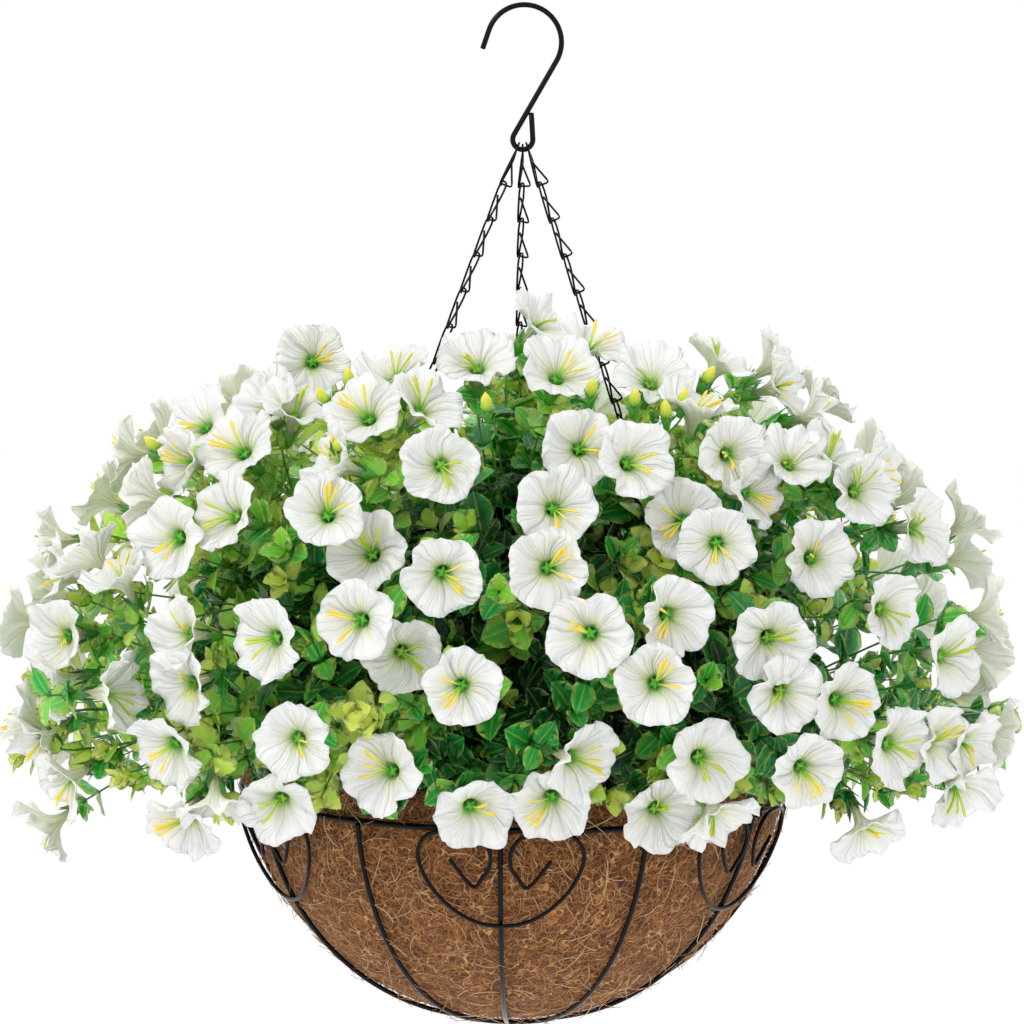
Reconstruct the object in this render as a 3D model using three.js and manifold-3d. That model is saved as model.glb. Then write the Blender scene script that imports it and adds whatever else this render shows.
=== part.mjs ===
// A hanging basket of white morning glories: a wire bowl on three chains and an S-hook, a coir liner,
// a fill with a hole for each stem, flowering sprays and leafy stems.
// Millimetres, +Z up, front towards -Y. The origin is the inner top of the hook's crook, where it hangs.
import * as THREE from "three";
import { mergeVertices } from "three/addons/utils/BufferGeometryUtils.js";
import Module from "manifold-3d";

const wasm = await Module();
wasm.setup();

// ---------- Driving dimensions ----------

const SLIVER = 0.3; // edges shorter than this go when pieces are joined
const GAP = 0.3; // between pieces that bear on each other

const HOOK_WIRE = 3;
const CROOK_RADIUS = 20.4; // centre line of the upper crook
const EYE_RADIUS = 5.5; // centre line of the lower eye
const HOOK_CENTRES = 53; // between the centres of the two curves
const CROOK_LIP = 10.5; // straight lip at the crook's free end
const EYE_END = 14; // straight end beside the shank
const CROOK_STOP_DEG = 162; // where the lip leaves the crook
const EYE_STOP_DEG = 364; // where the straight end leaves the eye

const RING_Z = -430; // plane of the rim ring
const RING_RADIUS = 150.9; // centre line
const RING_WIRE = 3.2;
const BOWL_RADIUS = 155.5; // sphere through the outer faces of the ribs
const BOWL_CENTRE_Z = RING_Z + 25;
const RIB_WIRE = 2.7;
const RIB_COUNT = 12;
const FIRST_RIB_DEG = -2.4; // azimuth from the front, towards +X
const BASE_RING_RADIUS = 30;
const SCROLL_WIRE = 2.2;
const SCROLL_COUNT = 6;
const SCROLL_SEAT = -0.1; // its flat sides lie this far inside the round wire

const CHAIN_WIRE = 1.2;
const CHAIN_LINKS = 18;
const CHAIN_AZIMUTHS = { right: 60, left: -60, back: 180 };
const RIM_HOOK_RADIUS = 2.8; // end hook round the rim ring

const LINER_RADIUS = 151.6; // outer face, on the bowl's centre
const LINER_WALL = 8;
const LINER_SIDES = 28;
const DOME_FROM_Z = RING_Z - 6; // the liner's inside is round from here down
const LINER_RISE = 17.5; // its edge above the rim ring's plane
const LINER_WAIST = 147; // outer radius where the rim ring passes
const NOTCH = { wide: 9, deep: 22, radius: 147, floor: 3 }; // in the liner's edge at each chain
const FILL_RISE = 5; // top of the fill above the rim ring's plane

// ---------- Materials ----------

const BLACK_WIRE = new THREE.MeshStandardMaterial({ color: 0x17181a, roughness: 0.38, metalness: 0.5 });
const COIR = new THREE.MeshStandardMaterial({ color: 0x8a5c3a, roughness: 0.95, metalness: 0 });
const FILL = new THREE.MeshStandardMaterial({ color: 0x2e2a20, roughness: 0.9, metalness: 0 });
const PETAL = new THREE.MeshStandardMaterial({ color: 0xf3f4f0, roughness: 0.7, metalness: 0 });
const LEAF = new THREE.MeshStandardMaterial({ color: 0x3f8a2c, roughness: 0.35, metalness: 0 });

// ---------- Helpers ----------

const rad = THREE.MathUtils.degToRad;
const vec = (x, y, z) => new THREE.Vector3(x, y, z);
const UP = vec(0, 0, 1);

// Outward direction at an azimuth measured from the front (-Y) towards +X.
const outward = (degrees) => vec(Math.sin(rad(degrees)), -Math.cos(rad(degrees)), 0);

// A route of straight steps whose sections stand exactly on the given points.
class Route extends THREE.Curve {
  constructor(points, closed = false) {
    super();
    this.points = closed ? [...points, points[0]] : points;
    this.closed = closed;
  }
  getPoint(t, target = vec(0, 0, 0)) {
    const steps = this.points.length - 1;
    const at = Math.min(Math.max(t * steps, 0), steps);
    const i = Math.min(Math.floor(at), steps - 1);
    return target.copy(this.points[i]).lerp(this.points[i + 1], at - i);
  }
  getPointAt(u, target) {
    return this.getPoint(u, target);
  }
  getTangent(t, target = vec(0, 0, 0)) {
    const steps = this.points.length - 1;
    const i = Math.round(t * steps);
    const step = (k) => {
      const from = this.closed ? (k + steps) % steps : Math.min(Math.max(k, 0), steps - 1);
      return this.points[from + 1].clone().sub(this.points[from]).normalize();
    };
    return target.copy(step(i - 1)).add(step(i)).normalize();
  }
  getTangentAt(u, target) {
    return this.getTangent(u, target);
  }
}

// A section with a few sides, its corners on the wire's own circle.
function section(radius, sides) {
  const corners = [];
  for (let i = 0; i < sides; i++) {
    const turn = (2 * Math.PI * i) / sides;
    corners.push(new THREE.Vector2(radius * Math.cos(turn), radius * Math.sin(turn)));
  }
  return new THREE.Shape(corners);
}

// A wire with closed ends along an open run of points.
function wire(points, diameter, sides) {
  return new THREE.ExtrudeGeometry(section(diameter / 2, sides), {
    steps: points.length - 1,
    curveSegments: 1,
    bevelEnabled: false,
    extrudePath: new Route(points),
  });
}

// A wire loop that closes on itself.
function loop(points, diameter, sides) {
  return new THREE.TubeGeometry(new Route(points, true), points.length, diameter / 2, sides, true);
}

// A closed geometry as a solid with its faces outwards.
function solid(geometry) {
  const bare = geometry.index ? geometry.toNonIndexed() : geometry.clone();
  const onlyPlaces = new THREE.BufferGeometry().setAttribute("position", bare.getAttribute("position"));
  const merged = mergeVertices(onlyPlaces, 1e-3);
  const mesh = (triVerts) =>
    new wasm.Mesh({ numProp: 3, vertProperties: merged.attributes.position.array, triVerts });
  const faces = new Uint32Array(merged.index.array);
  const made = new wasm.Manifold(mesh(faces));
  if (made.volume() >= 0) return made;
  return new wasm.Manifold(mesh(faces.reverse()));
}

// One solid of several, without the slivers that joining leaves.
const joined = (solids) => wasm.Manifold.union(solids).asOriginal().simplify(SLIVER);

function geometryOf(made) {
  const mesh = made.getMesh();
  const places = new Float32Array(mesh.numVert * 3);
  for (let i = 0; i < mesh.numVert; i++) {
    const from = i * mesh.numProp;
    places.set(mesh.vertProperties.subarray(from, from + 3), i * 3);
  }
  return new THREE.BufferGeometry()
    .setAttribute("position", new THREE.BufferAttribute(places, 3))
    .setIndex(new THREE.BufferAttribute(mesh.triVerts, 1));
}

const placed = []; // every piece so far, which a leaf keeps clear of
const basket = new THREE.Group();
basket.name = "morning_glory_hanging_basket";

function addPiece(name, made, material) {
  placed.push({ name, made, bounds: made.boundingBox() });
  const mesh = new THREE.Mesh(geometryOf(made), material);
  mesh.name = name;
  basket.add(mesh);
}

// ---------- S-hook ----------

const CROOK_Z = HOOK_WIRE / 2 - CROOK_RADIUS; // centre of the crook
const EYE_Z = CROOK_Z - HOOK_CENTRES; // centre of the eye
const SEAT_Z = EYE_Z - EYE_RADIUS; // wire centre at the bottom of the eye, where the chains hang

function arc(centreZ, radius, fromDeg, toDeg, steps) {
  const points = [];
  for (let i = 0; i <= steps; i++) {
    const at = rad(fromDeg + ((toDeg - fromDeg) * i) / steps);
    points.push(vec(radius * Math.cos(at), 0, centreZ + radius * Math.sin(at)));
  }
  return points;
}

function addHook() {
  const lean = THREE.MathUtils.radToDeg(Math.asin((CROOK_RADIUS + EYE_RADIUS) / HOOK_CENTRES));
  const crook = arc(CROOK_Z, CROOK_RADIUS, CROOK_STOP_DEG, -lean, 15);
  const eye = arc(EYE_Z, EYE_RADIUS, 180 - lean, EYE_STOP_DEG, 12);
  const lipStart = crook[0];
  const lip = vec(
    lipStart.x - CROOK_LIP * Math.sin(rad(CROOK_STOP_DEG)),
    0,
    lipStart.z + CROOK_LIP * Math.cos(rad(CROOK_STOP_DEG)),
  );
  const eyeStop = eye[eye.length - 1];
  const end = vec(
    eyeStop.x - EYE_END * Math.sin(rad(EYE_STOP_DEG)),
    0,
    eyeStop.z + EYE_END * Math.cos(rad(EYE_STOP_DEG)),
  );
  addPiece("s_hook", solid(wire([lip, ...crook, ...eye, end], HOOK_WIRE, 7)), BLACK_WIRE);
}

// ---------- Chains ----------

// Each link is one wire: a narrow upper loop, a crossing, and a three-cornered lower loop a quarter turn
// round. Its section is a triangle of the round wire's own area.
const LINK_TOP = 1.7; // half the width of the upper loop
const LINK_CROSSING = { along: 11.5, out: 0.85 };
const LINK_BAR = 2.8; // half the width of the lower loop's bar
const LINK_GRIP = 0.6; // the next link's top above that bar, so that they hold together
const LINK_SECTION = 1.6; // across the corners

function linkPoints(start, down, side, across, bar, bow) {
  const at = (along, a, b) =>
    start.clone().addScaledVector(down, along).addScaledVector(side, a).addScaledVector(across, b);
  const cross = LINK_CROSSING;
  const top = bow
    ? [0, 45, 90, 135, 180].map((deg) => at(-bow * Math.sin(rad(deg)), bow * Math.cos(rad(deg)), 0))
    : [at(0, LINK_TOP, 0), at(0, -LINK_TOP, 0)];
  return [
    ...top,
    at(cross.along, -cross.out, -cross.out),
    at(bar, 0, -LINK_BAR),
    at(bar, 0, LINK_BAR),
    at(cross.along, cross.out, cross.out),
  ];
}

// Where each chain's top link goes round the eye, and the radius of its bow there.
const SEATS = {
  right: { alongEyeDeg: 32, bow: 3.2 },
  left: { alongEyeDeg: -32, bow: 3.2 },
  back: { alongEyeDeg: 0, bow: 2.8 },
};

function addChain(name, azimuth) {
  const seat = SEATS[name];
  const turn = rad(seat.alongEyeDeg);
  const top = vec(EYE_RADIUS * Math.sin(turn), 0, EYE_Z - EYE_RADIUS * Math.cos(turn));
  const foot = outward(azimuth).multiplyScalar(RING_RADIUS).setZ(RING_Z);
  const down = foot.clone().sub(top);
  const length = down.length();
  down.normalize();
  const side = vec(0, 1, 0).addScaledVector(down, -down.y).normalize();
  const across = down.clone().cross(side);
  const pitch = (length - RIM_HOOK_RADIUS - LINK_GRIP) / CHAIN_LINKS;
  const links = [];
  for (let i = 0; i < CHAIN_LINKS; i++) {
    const start = top.clone().addScaledVector(down, i * pitch);
    const bow = i === 0 ? seat.bow : 0;
    const points = linkPoints(start, down, side, across, pitch + LINK_GRIP, bow);
    links.push(solid(loop(points, LINK_SECTION, 3)));
  }
  const tangent = UP.clone().cross(outward(azimuth)).normalize();
  const rimHook = new THREE.TorusGeometry(RIM_HOOK_RADIUS, CHAIN_WIRE / 2, 4, 8);
  rimHook.applyQuaternion(new THREE.Quaternion().setFromUnitVectors(UP, tangent));
  rimHook.translate(foot.x, foot.y, foot.z);
  links.push(solid(rimHook));
  addPiece("chain_" + name, joined(links), BLACK_WIRE);
}

// ---------- Wire bowl ----------

// A point on a sphere about the bowl's centre: how far round it from an azimuth, and its height.
function onBowl(radius, azimuth, aside, z) {
  const level = Math.sqrt(radius * radius - (z - BOWL_CENTRE_Z) ** 2);
  const turn = azimuth + THREE.MathUtils.radToDeg(aside / RING_RADIUS);
  return outward(turn).multiplyScalar(level).setZ(z);
}

function addRings() {
  const rim = new THREE.TorusGeometry(RING_RADIUS, RING_WIRE / 2, 4, 48);
  rim.translate(0, 0, RING_Z);
  addPiece("rim_ring", solid(rim), BLACK_WIRE);
  const centreLine = BOWL_RADIUS - RIB_WIRE / 2;
  const baseZ = BOWL_CENTRE_Z - Math.sqrt(centreLine ** 2 - BASE_RING_RADIUS ** 2);
  const base = new THREE.TorusGeometry(BASE_RING_RADIUS, RIB_WIRE / 2, 4, 18);
  base.translate(0, 0, baseZ);
  addPiece("base_ring", solid(base), BLACK_WIRE);
}

function addRibs() {
  const centreLine = BOWL_RADIUS - RIB_WIRE / 2;
  const topZ = RING_Z - RING_WIRE / 2 - GAP - RIB_WIRE / 4;
  const topTurn = Math.acos((BOWL_CENTRE_Z - topZ) / centreLine);
  const baseTurn = Math.asin((BASE_RING_RADIUS + RIB_WIRE / 2 + GAP) / centreLine);
  const steps = 8;
  for (let i = 0; i < RIB_COUNT; i++) {
    const azimuth = FIRST_RIB_DEG + (360 * i) / RIB_COUNT;
    const points = [];
    for (let k = 0; k <= steps; k++) {
      const turn = topTurn + ((baseTurn - topTurn) * k) / steps;
      const level = centreLine * Math.sin(turn);
      const z = BOWL_CENTRE_Z - centreLine * Math.cos(turn);
      points.push(outward(azimuth).multiplyScalar(level).setZ(z));
    }
    addPiece("rib_" + String(i + 1).padStart(2, "0"), solid(wire(points, RIB_WIRE, 4)), BLACK_WIRE);
  }
}

// Half of a scroll from its middle to its free end: distance aside, and height from the ring's plane.
const SCROLL_HALF = [
  [0, -53], [14, -51], [27, -44], [38, -32], [43.6, -18], [42.2, -8.5],
  [36.3, -2.6], [25.2, -0.6], [12.3, -2.3], [5.8, -10.4], [5.6, -19.2], [9.3, -25.3], [15.1, -30.6],
  [26.5, -15.9],
];

function addScrolls() {
  const radius = BOWL_RADIUS + SCROLL_SEAT + SCROLL_WIRE / 2;
  for (let i = 0; i < SCROLL_COUNT; i++) {
    const azimuth = FIRST_RIB_DEG + (360 * i) / SCROLL_COUNT;
    const half = (sign) =>
      SCROLL_HALF.map(([aside, drop]) => onBowl(radius, azimuth, sign * aside, RING_Z + drop));
    const points = [...half(-1).slice(1).reverse(), ...half(1)];
    addPiece("scroll_" + (i + 1), solid(wire(points, SCROLL_WIRE, 4)), BLACK_WIRE);
  }
}

// ---------- Liner and fill ----------

// Points down a sphere about the bowl's centre, from a height to the pole.
function domeProfile(radius, fromZ, steps) {
  const from = Math.acos((BOWL_CENTRE_Z - fromZ) / radius);
  const points = [];
  for (let i = 0; i <= steps; i++) {
    const turn = from * (1 - i / steps);
    points.push(new THREE.Vector2(radius * Math.sin(turn), BOWL_CENTRE_Z - radius * Math.cos(turn)));
  }
  points[steps].x = 0;
  return points;
}

// The liner parts round each chain, which runs in over its edge to the hook.
function chainNotch(azimuth) {
  const height = LINER_RISE + 10;
  const box = new THREE.BoxGeometry(NOTCH.wide, NOTCH.deep, height);
  box.rotateZ(rad(azimuth));
  const middle = outward(azimuth).multiplyScalar(NOTCH.radius);
  box.translate(middle.x, middle.y, RING_Z + NOTCH.floor + height / 2);
  return solid(box);
}

function addLiner() {
  const top = RING_Z + LINER_RISE;
  const inner = LINER_RADIUS - LINER_WALL;
  const profile = [
    ...domeProfile(LINER_RADIUS, RING_Z - 14, 6).reverse(),
    new THREE.Vector2(LINER_WAIST, RING_Z - 5),
    new THREE.Vector2(LINER_WAIST, RING_Z + 5),
    new THREE.Vector2(LINER_WAIST + 1.5, top),
    new THREE.Vector2(LINER_WAIST + 1.5 - LINER_WALL, top),
    ...domeProfile(inner, DOME_FROM_Z, 4),
  ];
  const cup = solid(new THREE.LatheGeometry(profile, LINER_SIDES).rotateX(Math.PI / 2));
  const notches = Object.values(CHAIN_AZIMUTHS).map(chainNotch);
  addPiece("coir_liner", cup.subtract(joined(notches)), COIR);
}

// ---------- Plants: where things grow ----------

// The mass of foliage is a dome, wider than the basket.
const DOME_Z = RING_Z + 60;
const DOME = { wide: 283, deep: 235, up: 205, down: 160 };

// The front blooms are listed as seen from an eye point in front of the basket, across and down in
// 1024ths of the view, then the way each faces, in degrees to the right of the front and tipped up,
// and its share of the way out from the dome's middle where it isn't 1.
const EYE_POINT = vec(-2.9, -2175, -97);
const SIGHT_TILT_DEG = 4.7;
const SIGHT_ROLL_DEG = 0.85;
const SIGHT_LENGTH = 3960;
const SIGHT_MIDDLE = 512;
const FRONT_BLOOMS = [
  // left side, top to bottom
  [117, 455, -90, 5], [195, 420, -40, 35], [176, 466, -60, 0], [235, 445, -30, 35], [222, 513, -45, 20],
  [166, 541, -35, 0], [137, 498, -105, 5, 1.02], [45, 543, -95, -5], [50, 575, -80, 12], [84, 552, -110, 35],
  [115, 572, -50, 55], [10, 622, -95, 0], [52, 640, -45, 0], [174, 637, -50, 5], [178, 690, -45, -10],
  [122, 695, 75, 5], [45, 690, -70, -15], [16, 716, -100, 30], [30, 750, -60, -30], [57, 790, -60, -28],
  [40, 835, -80, -35], [163, 756, -35, -25], [180, 833, -30, -40], [214, 818, 5, -65],
  // upper left and middle
  [311, 362, 0, 8], [262, 402, -30, 40], [296, 402, 25, 62], [392, 368, -20, 55], [363, 410, -20, 38],
  [328, 463, -60, 18], [439, 467, -5, 5], [325, 512, -5, 22], [365, 552, -20, 18, 0.86], [442, 579, 0, -8],
  [354, 624, -20, 0], [402, 658, 3, -5, 0.84], [463, 690, 5, 0], [263, 642, -35, 0], [292, 745, -15, -5],
  [381, 776, -30, 0, 0.9], [276, 812, -15, -28, 0.95], [430, 400, 50, 45],
  // top and right of the middle
  [477, 357, 0, 50], [545, 316, 60, 50], [560, 368, 15, 45], [593, 338, 35, 62], [655, 373, 15, 45],
  [581, 448, 5, 14], [637, 461, 30, 18], [556, 508, 8, 14], [548, 572, 0, 0], [589, 638, -5, 0],
  [676, 620, 25, -5], [656, 688, 0, 0], [584, 765, 45, -8, 0.9], [475, 818, 15, -20, 0.84],
  [550, 810, -5, -25, 0.84], [662, 820, 20, -20, 0.84], [725, 357, 70, 58], [790, 385, 70, 18],
  [826, 416, 85, 12], [782, 360, 90, 35], [697, 402, 30, 70],
  // right side
  [737, 456, 30, 5], [796, 456, 30, 42], [866, 492, 35, 8], [886, 470, 70, 20], [838, 453, 50, 45],
  [717, 547, -3, 0], [684, 521, 0, 12, 0.85], [822, 560, 30, 5, 0.86], [760, 492, 50, 10, 0.9],
  [773, 646, 10, -12], [788, 697, 20, -5], [847, 705, 30, -3], [893, 613, 35, 0], [708, 764, 25, -5, 0.92],
  [810, 775, 25, -10], [902, 750, 40, -5], [722, 828, 45, -50, 0.88], [928, 530, 50, 5], [975, 516, 88, 42],
  [998, 616, 90, 8], [958, 660, 50, 0], [946, 748, 50, -5], [1010, 736, 82, -15], [978, 752, 60, -20],
  [966, 800, 32, -30], [870, 842, 30, -45],
];

// The blooms that the front hides follow the golden angle round the back of the dome.
const BACK_BLOOMS = { count: 34, top: 0.86, span: 1.16, spreadDeg: 76, tipDeg: 62, droopDeg: 4 };
const GOLDEN_DEG = 137.508;

const BLOOM = {
  radius: 22.5, // to a lobe's tip
  notch: 20.3, // between two lobes
  lift: 1.5, // of the rim there
  lobes: 5,
  depth: 28, // from the rim back to the stalk
  throat: 15, // from the rim back to the narrow tube
  tube: 3.6, // radius
  hollow: 12, // how deep the trumpet is open
};
const STEM = { spray: 3, leafy: 2.6, stalk: 1.5 }; // diameters
const KNUCKLE_RADIUS = 5.5; // where a spray's stalks leave its stem
const HUB_SHARE = 0.46; // of the way from the middle out to a spray's blooms
const HUB_RISE = 40; // no lower than this above the rim
const LEAF_BLADE = { length: 25, width: 17, thick: 1, sag: 0.9, curl: 0.4 };
// Each leafy stem's azimuth from the front, and how far it falls away from upright.
const LEAFY_STEMS = [
  [10, 32], [163, 49], [295, 51], [78, 57], [216, 63], [343, 75], [135, 68], [254, 74], [63, 77],
  [184, 82], [329, 82], [108, 79],
];
const LEAF_PAIRS = 4;
const LEAF_RUN = { from: 0.55, length: 0.43 }; // the share of a stem that bears leaves
const LEAFY_HOLE = { radius: 14, perDeg: 1.06, turnDeg: 4 }; // where a leafy stem stands
const HOLE_CORNER = 1.24; // a five-sided hole's corners, past the stem's own circle
const STEM_DEPTH = 22; // stands this deep in the fill
const HOLE_CLEARANCE = 0.35;

const TOWARDS = vec(0, Math.cos(rad(SIGHT_TILT_DEG)), -Math.sin(rad(SIGHT_TILT_DEG)));
const SIGHT_UP = vec(0, Math.sin(rad(SIGHT_TILT_DEG)), Math.cos(rad(SIGHT_TILT_DEG)));

// Where a line of sight meets the front of the dome, shrunk towards the middle by `out`.
function sighted(across, down, out) {
  const roll = rad(SIGHT_ROLL_DEG);
  const u = (across - SIGHT_MIDDLE) / SIGHT_LENGTH;
  const v = (SIGHT_MIDDLE - down) / SIGHT_LENGTH;
  const line = TOWARDS.clone()
    .addScaledVector(vec(1, 0, 0), u * Math.cos(roll) - v * Math.sin(roll))
    .addScaledVector(SIGHT_UP, u * Math.sin(roll) + v * Math.cos(roll));
  let depth = -DOME.deep;
  const place = vec(0, 0, 0);
  for (let pass = 0; pass < 8; pass++) {
    place.copy(EYE_POINT).addScaledVector(line, (depth - EYE_POINT.y) / line.y);
    const height = place.z - DOME_Z;
    const share = (place.x / DOME.wide) ** 2 + (height / (height > 0 ? DOME.up : DOME.down)) ** 2;
    depth = -DOME.deep * out * Math.sqrt(Math.max(0, 1 - share));
  }
  return place;
}

// The way a bloom faces: turned to the right of the front, then tipped up.
function facing(turnDeg, tipDeg) {
  return outward(turnDeg).multiplyScalar(Math.cos(rad(tipDeg))).setZ(Math.sin(rad(tipDeg)));
}

function allBlooms() {
  const blooms = FRONT_BLOOMS.map(([across, down, turn, tip, out = 1]) => ({
    place: sighted(across, down, out),
    face: facing(turn, tip),
  }));
  for (let i = 0; i < BACK_BLOOMS.count; i++) {
    const rise = BACK_BLOOMS.top - (BACK_BLOOMS.span * (i + 0.5)) / BACK_BLOOMS.count;
    const turn = 180 + BACK_BLOOMS.spreadDeg * Math.sin(rad(GOLDEN_DEG * i));
    const level = Math.sqrt(1 - rise * rise);
    const across = outward(turn);
    const height = rise * (rise > 0 ? DOME.up : DOME.down);
    const place = vec(across.x * level * DOME.wide, across.y * level * DOME.deep, DOME_Z + height);
    blooms.push({ place, face: facing(turn, BACK_BLOOMS.tipDeg * rise - BACK_BLOOMS.droopDeg) });
  }
  return blooms;
}

// ---------- Plants: their solids ----------

const MIDDLE = vec(0, 0, RING_Z + 20); // stems fan out from here

// Bands of sprays, from the top of the dome down its sides.
const BANDS = [
  { fromDeg: 0, sectors: 3, hole: 24 },
  { fromDeg: 38, sectors: 7, hole: 66 },
  { fromDeg: 68, sectors: 8, hole: 106 },
];

function cellOf(place) {
  const way = place.clone().sub(MIDDLE).normalize();
  const fall = THREE.MathUtils.radToDeg(Math.acos(way.z));
  const azimuth = THREE.MathUtils.radToDeg(Math.atan2(way.x, -way.y));
  const band = BANDS.findLastIndex((b) => fall >= b.fromDeg);
  const { sectors } = BANDS[band];
  const width = 360 / sectors;
  const sector = (Math.round(azimuth / width) + sectors) % sectors;
  return { key: band * 100 + sector, band, azimuth: sector * width };
}

// A trumpet on its stalk: a thin stalk from the hub, a narrow throat and a rim of five shallow lobes,
// hollow inside.
function trumpet(bloom, hub) {
  const { place, face } = bloom;
  const side = (Math.abs(face.z) > 0.9 ? vec(1, 0, 0) : UP).clone().cross(face).normalize();
  const over = face.clone().cross(side);
  const at = (along, radius, turn) =>
    place.clone().addScaledVector(face, along)
      .addScaledVector(side, radius * Math.cos(turn))
      .addScaledVector(over, radius * Math.sin(turn));
  const lobes = BLOOM.lobes;
  const points = [at(-BLOOM.hollow, 0, 0)];
  const corner = (i, radius) => at(-BLOOM.depth, radius, (2 * Math.PI * i) / 3);
  const end = at(-BLOOM.depth, 0, 0);
  const away = hub.clone().sub(end).normalize();
  const bend = new THREE.Quaternion().setFromUnitVectors(face.clone().negate(), away);
  for (let i = 0; i < 3; i++) points.push(corner(i, STEM.stalk / 2));
  for (let i = 0; i < 3; i++) points.push(points[1 + i].clone().sub(end).applyQuaternion(bend).add(hub));
  for (let i = 0; i < 3; i++) points.push(at(-BLOOM.throat, BLOOM.tube, (2 * Math.PI * i) / 3));
  for (let i = 0; i < lobes; i++) {
    const turn = (2 * Math.PI * i) / lobes;
    points.push(at(0, BLOOM.radius, turn));
    points.push(at(BLOOM.lift, BLOOM.notch, turn + Math.PI / lobes));
  }
  const foot = (i) => 1 + (i % 3);
  const root = (i) => 4 + (i % 3);
  const throat = (i) => 7 + (i % 3);
  const rim = (i) => 10 + (i % (2 * lobes));
  const faces = [[root(0), root(2), root(1)]];
  for (let i = 0; i < 3; i++) {
    faces.push([root(i), root(i + 1), foot(i + 1)], [root(i), foot(i + 1), foot(i)]);
    faces.push([foot(i), foot(i + 1), throat(i + 1)], [foot(i), throat(i + 1), throat(i)]);
  }
  // ten rim corners over three throat corners
  for (let i = 0; i < 2 * lobes; i++) {
    const corner = Math.round((3 * (i + 0.5)) / (2 * lobes));
    faces.push([throat(corner), rim(i + 1), rim(i)], [0, rim(i), rim(i + 1)]);
  }
  for (let i = 0; i < 3; i++) faces.push([throat(i), throat(i + 1), rim(3 * i + 2)]);
  return facets(points, faces);
}

// A closed solid from its corners and triangles.
function facets(points, faces) {
  const places = faces.flat().flatMap((i) => points[i].toArray());
  const position = new THREE.Float32BufferAttribute(places, 3);
  return solid(new THREE.BufferGeometry().setAttribute("position", position));
}

// A thin pointed leaf, thickest along its middle, from a foot point.
function leafBlade(foot, along, side) {
  const over = along.clone().cross(side).normalize();
  const at = (a, b, c) =>
    foot
      .clone()
      .addScaledVector(along, a * LEAF_BLADE.length)
      .addScaledVector(side, b * LEAF_BLADE.width)
      .addScaledVector(over, c);
  const { thick, sag, curl } = LEAF_BLADE;
  const outline = [
    at(0, 0, 0),
    at(0.32, 0.44, 0),
    at(0.72, 0.4, curl),
    at(1, 0, 0),
    at(0.72, -0.4, curl),
    at(0.32, -0.44, 0),
  ];
  const points = [...outline, at(0.5, 0, thick / 2 - sag), at(0.5, 0, -thick / 2 - sag)];
  const faces = [];
  for (let i = 0; i < 6; i++) {
    const next = (i + 1) % 6;
    faces.push([6, i, next], [7, next, i]);
  }
  return facets(points, faces);
}

// A stem from the fill: straight up out of its hole, then over to its end.
function stemPoints(hole, end) {
  const top = RING_Z + FILL_RISE;
  const start = vec(hole.x, hole.y, top + 4);
  const rise = vec(hole.x, hole.y, Math.max(top + 14, (end.z + top) / 2));
  const points = [vec(hole.x, hole.y, top - STEM_DEPTH), start];
  for (let i = 1; i <= 3; i++) {
    const t = i / 3;
    const bent = start.clone().multiplyScalar((1 - t) ** 2);
    points.push(bent.addScaledVector(rise, 2 * t * (1 - t)).addScaledVector(end, t * t));
  }
  return points;
}

const holes = [];

// Whether a leaf stands off every other piece.
function clearOf(leaf, owner) {
  const box = leaf.boundingBox();
  return placed.every(({ name, made, bounds }) => {
    if (name === owner) return true;
    for (let k = 0; k < 3; k++) {
      if (box.min[k] > bounds.max[k] + GAP || box.max[k] < bounds.min[k] - GAP) return true;
    }
    return leaf.minGap(made, GAP) >= GAP;
  });
}

function addSprays() {
  const cells = new Map();
  for (const bloom of allBlooms()) {
    const cell = cellOf(bloom.place);
    if (!cells.has(cell.key)) cells.set(cell.key, { ...cell, blooms: [] });
    cells.get(cell.key).blooms.push(bloom);
  }
  const sprays = [...cells.values()].sort((a, b) => a.key - b.key);
  sprays.forEach((cell, i) => {
    const name = "flowering_spray_" + String(i + 1).padStart(2, "0");
    const mean = vec(0, 0, 0);
    for (const bloom of cell.blooms) mean.addScaledVector(bloom.place, 1 / cell.blooms.length);
    const hub = MIDDLE.clone().lerp(mean, HUB_SHARE);
    hub.z = Math.max(hub.z, RING_Z + HUB_RISE);
    const hole = outward(cell.azimuth).multiplyScalar(BANDS[cell.band].hole).setZ(0);
    holes.push({ hole, diameter: STEM.spray });
    const stem = stemPoints(hole, hub);
    const knuckle = new THREE.OctahedronGeometry(KNUCKLE_RADIUS, 0).translate(hub.x, hub.y, hub.z);
    const solids = [solid(wire(stem, STEM.spray, 5)), solid(knuckle)];
    for (const bloom of cell.blooms) solids.push(trumpet(bloom, hub));
    addPiece(name, joined(solids), PETAL);
  });
}

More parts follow.
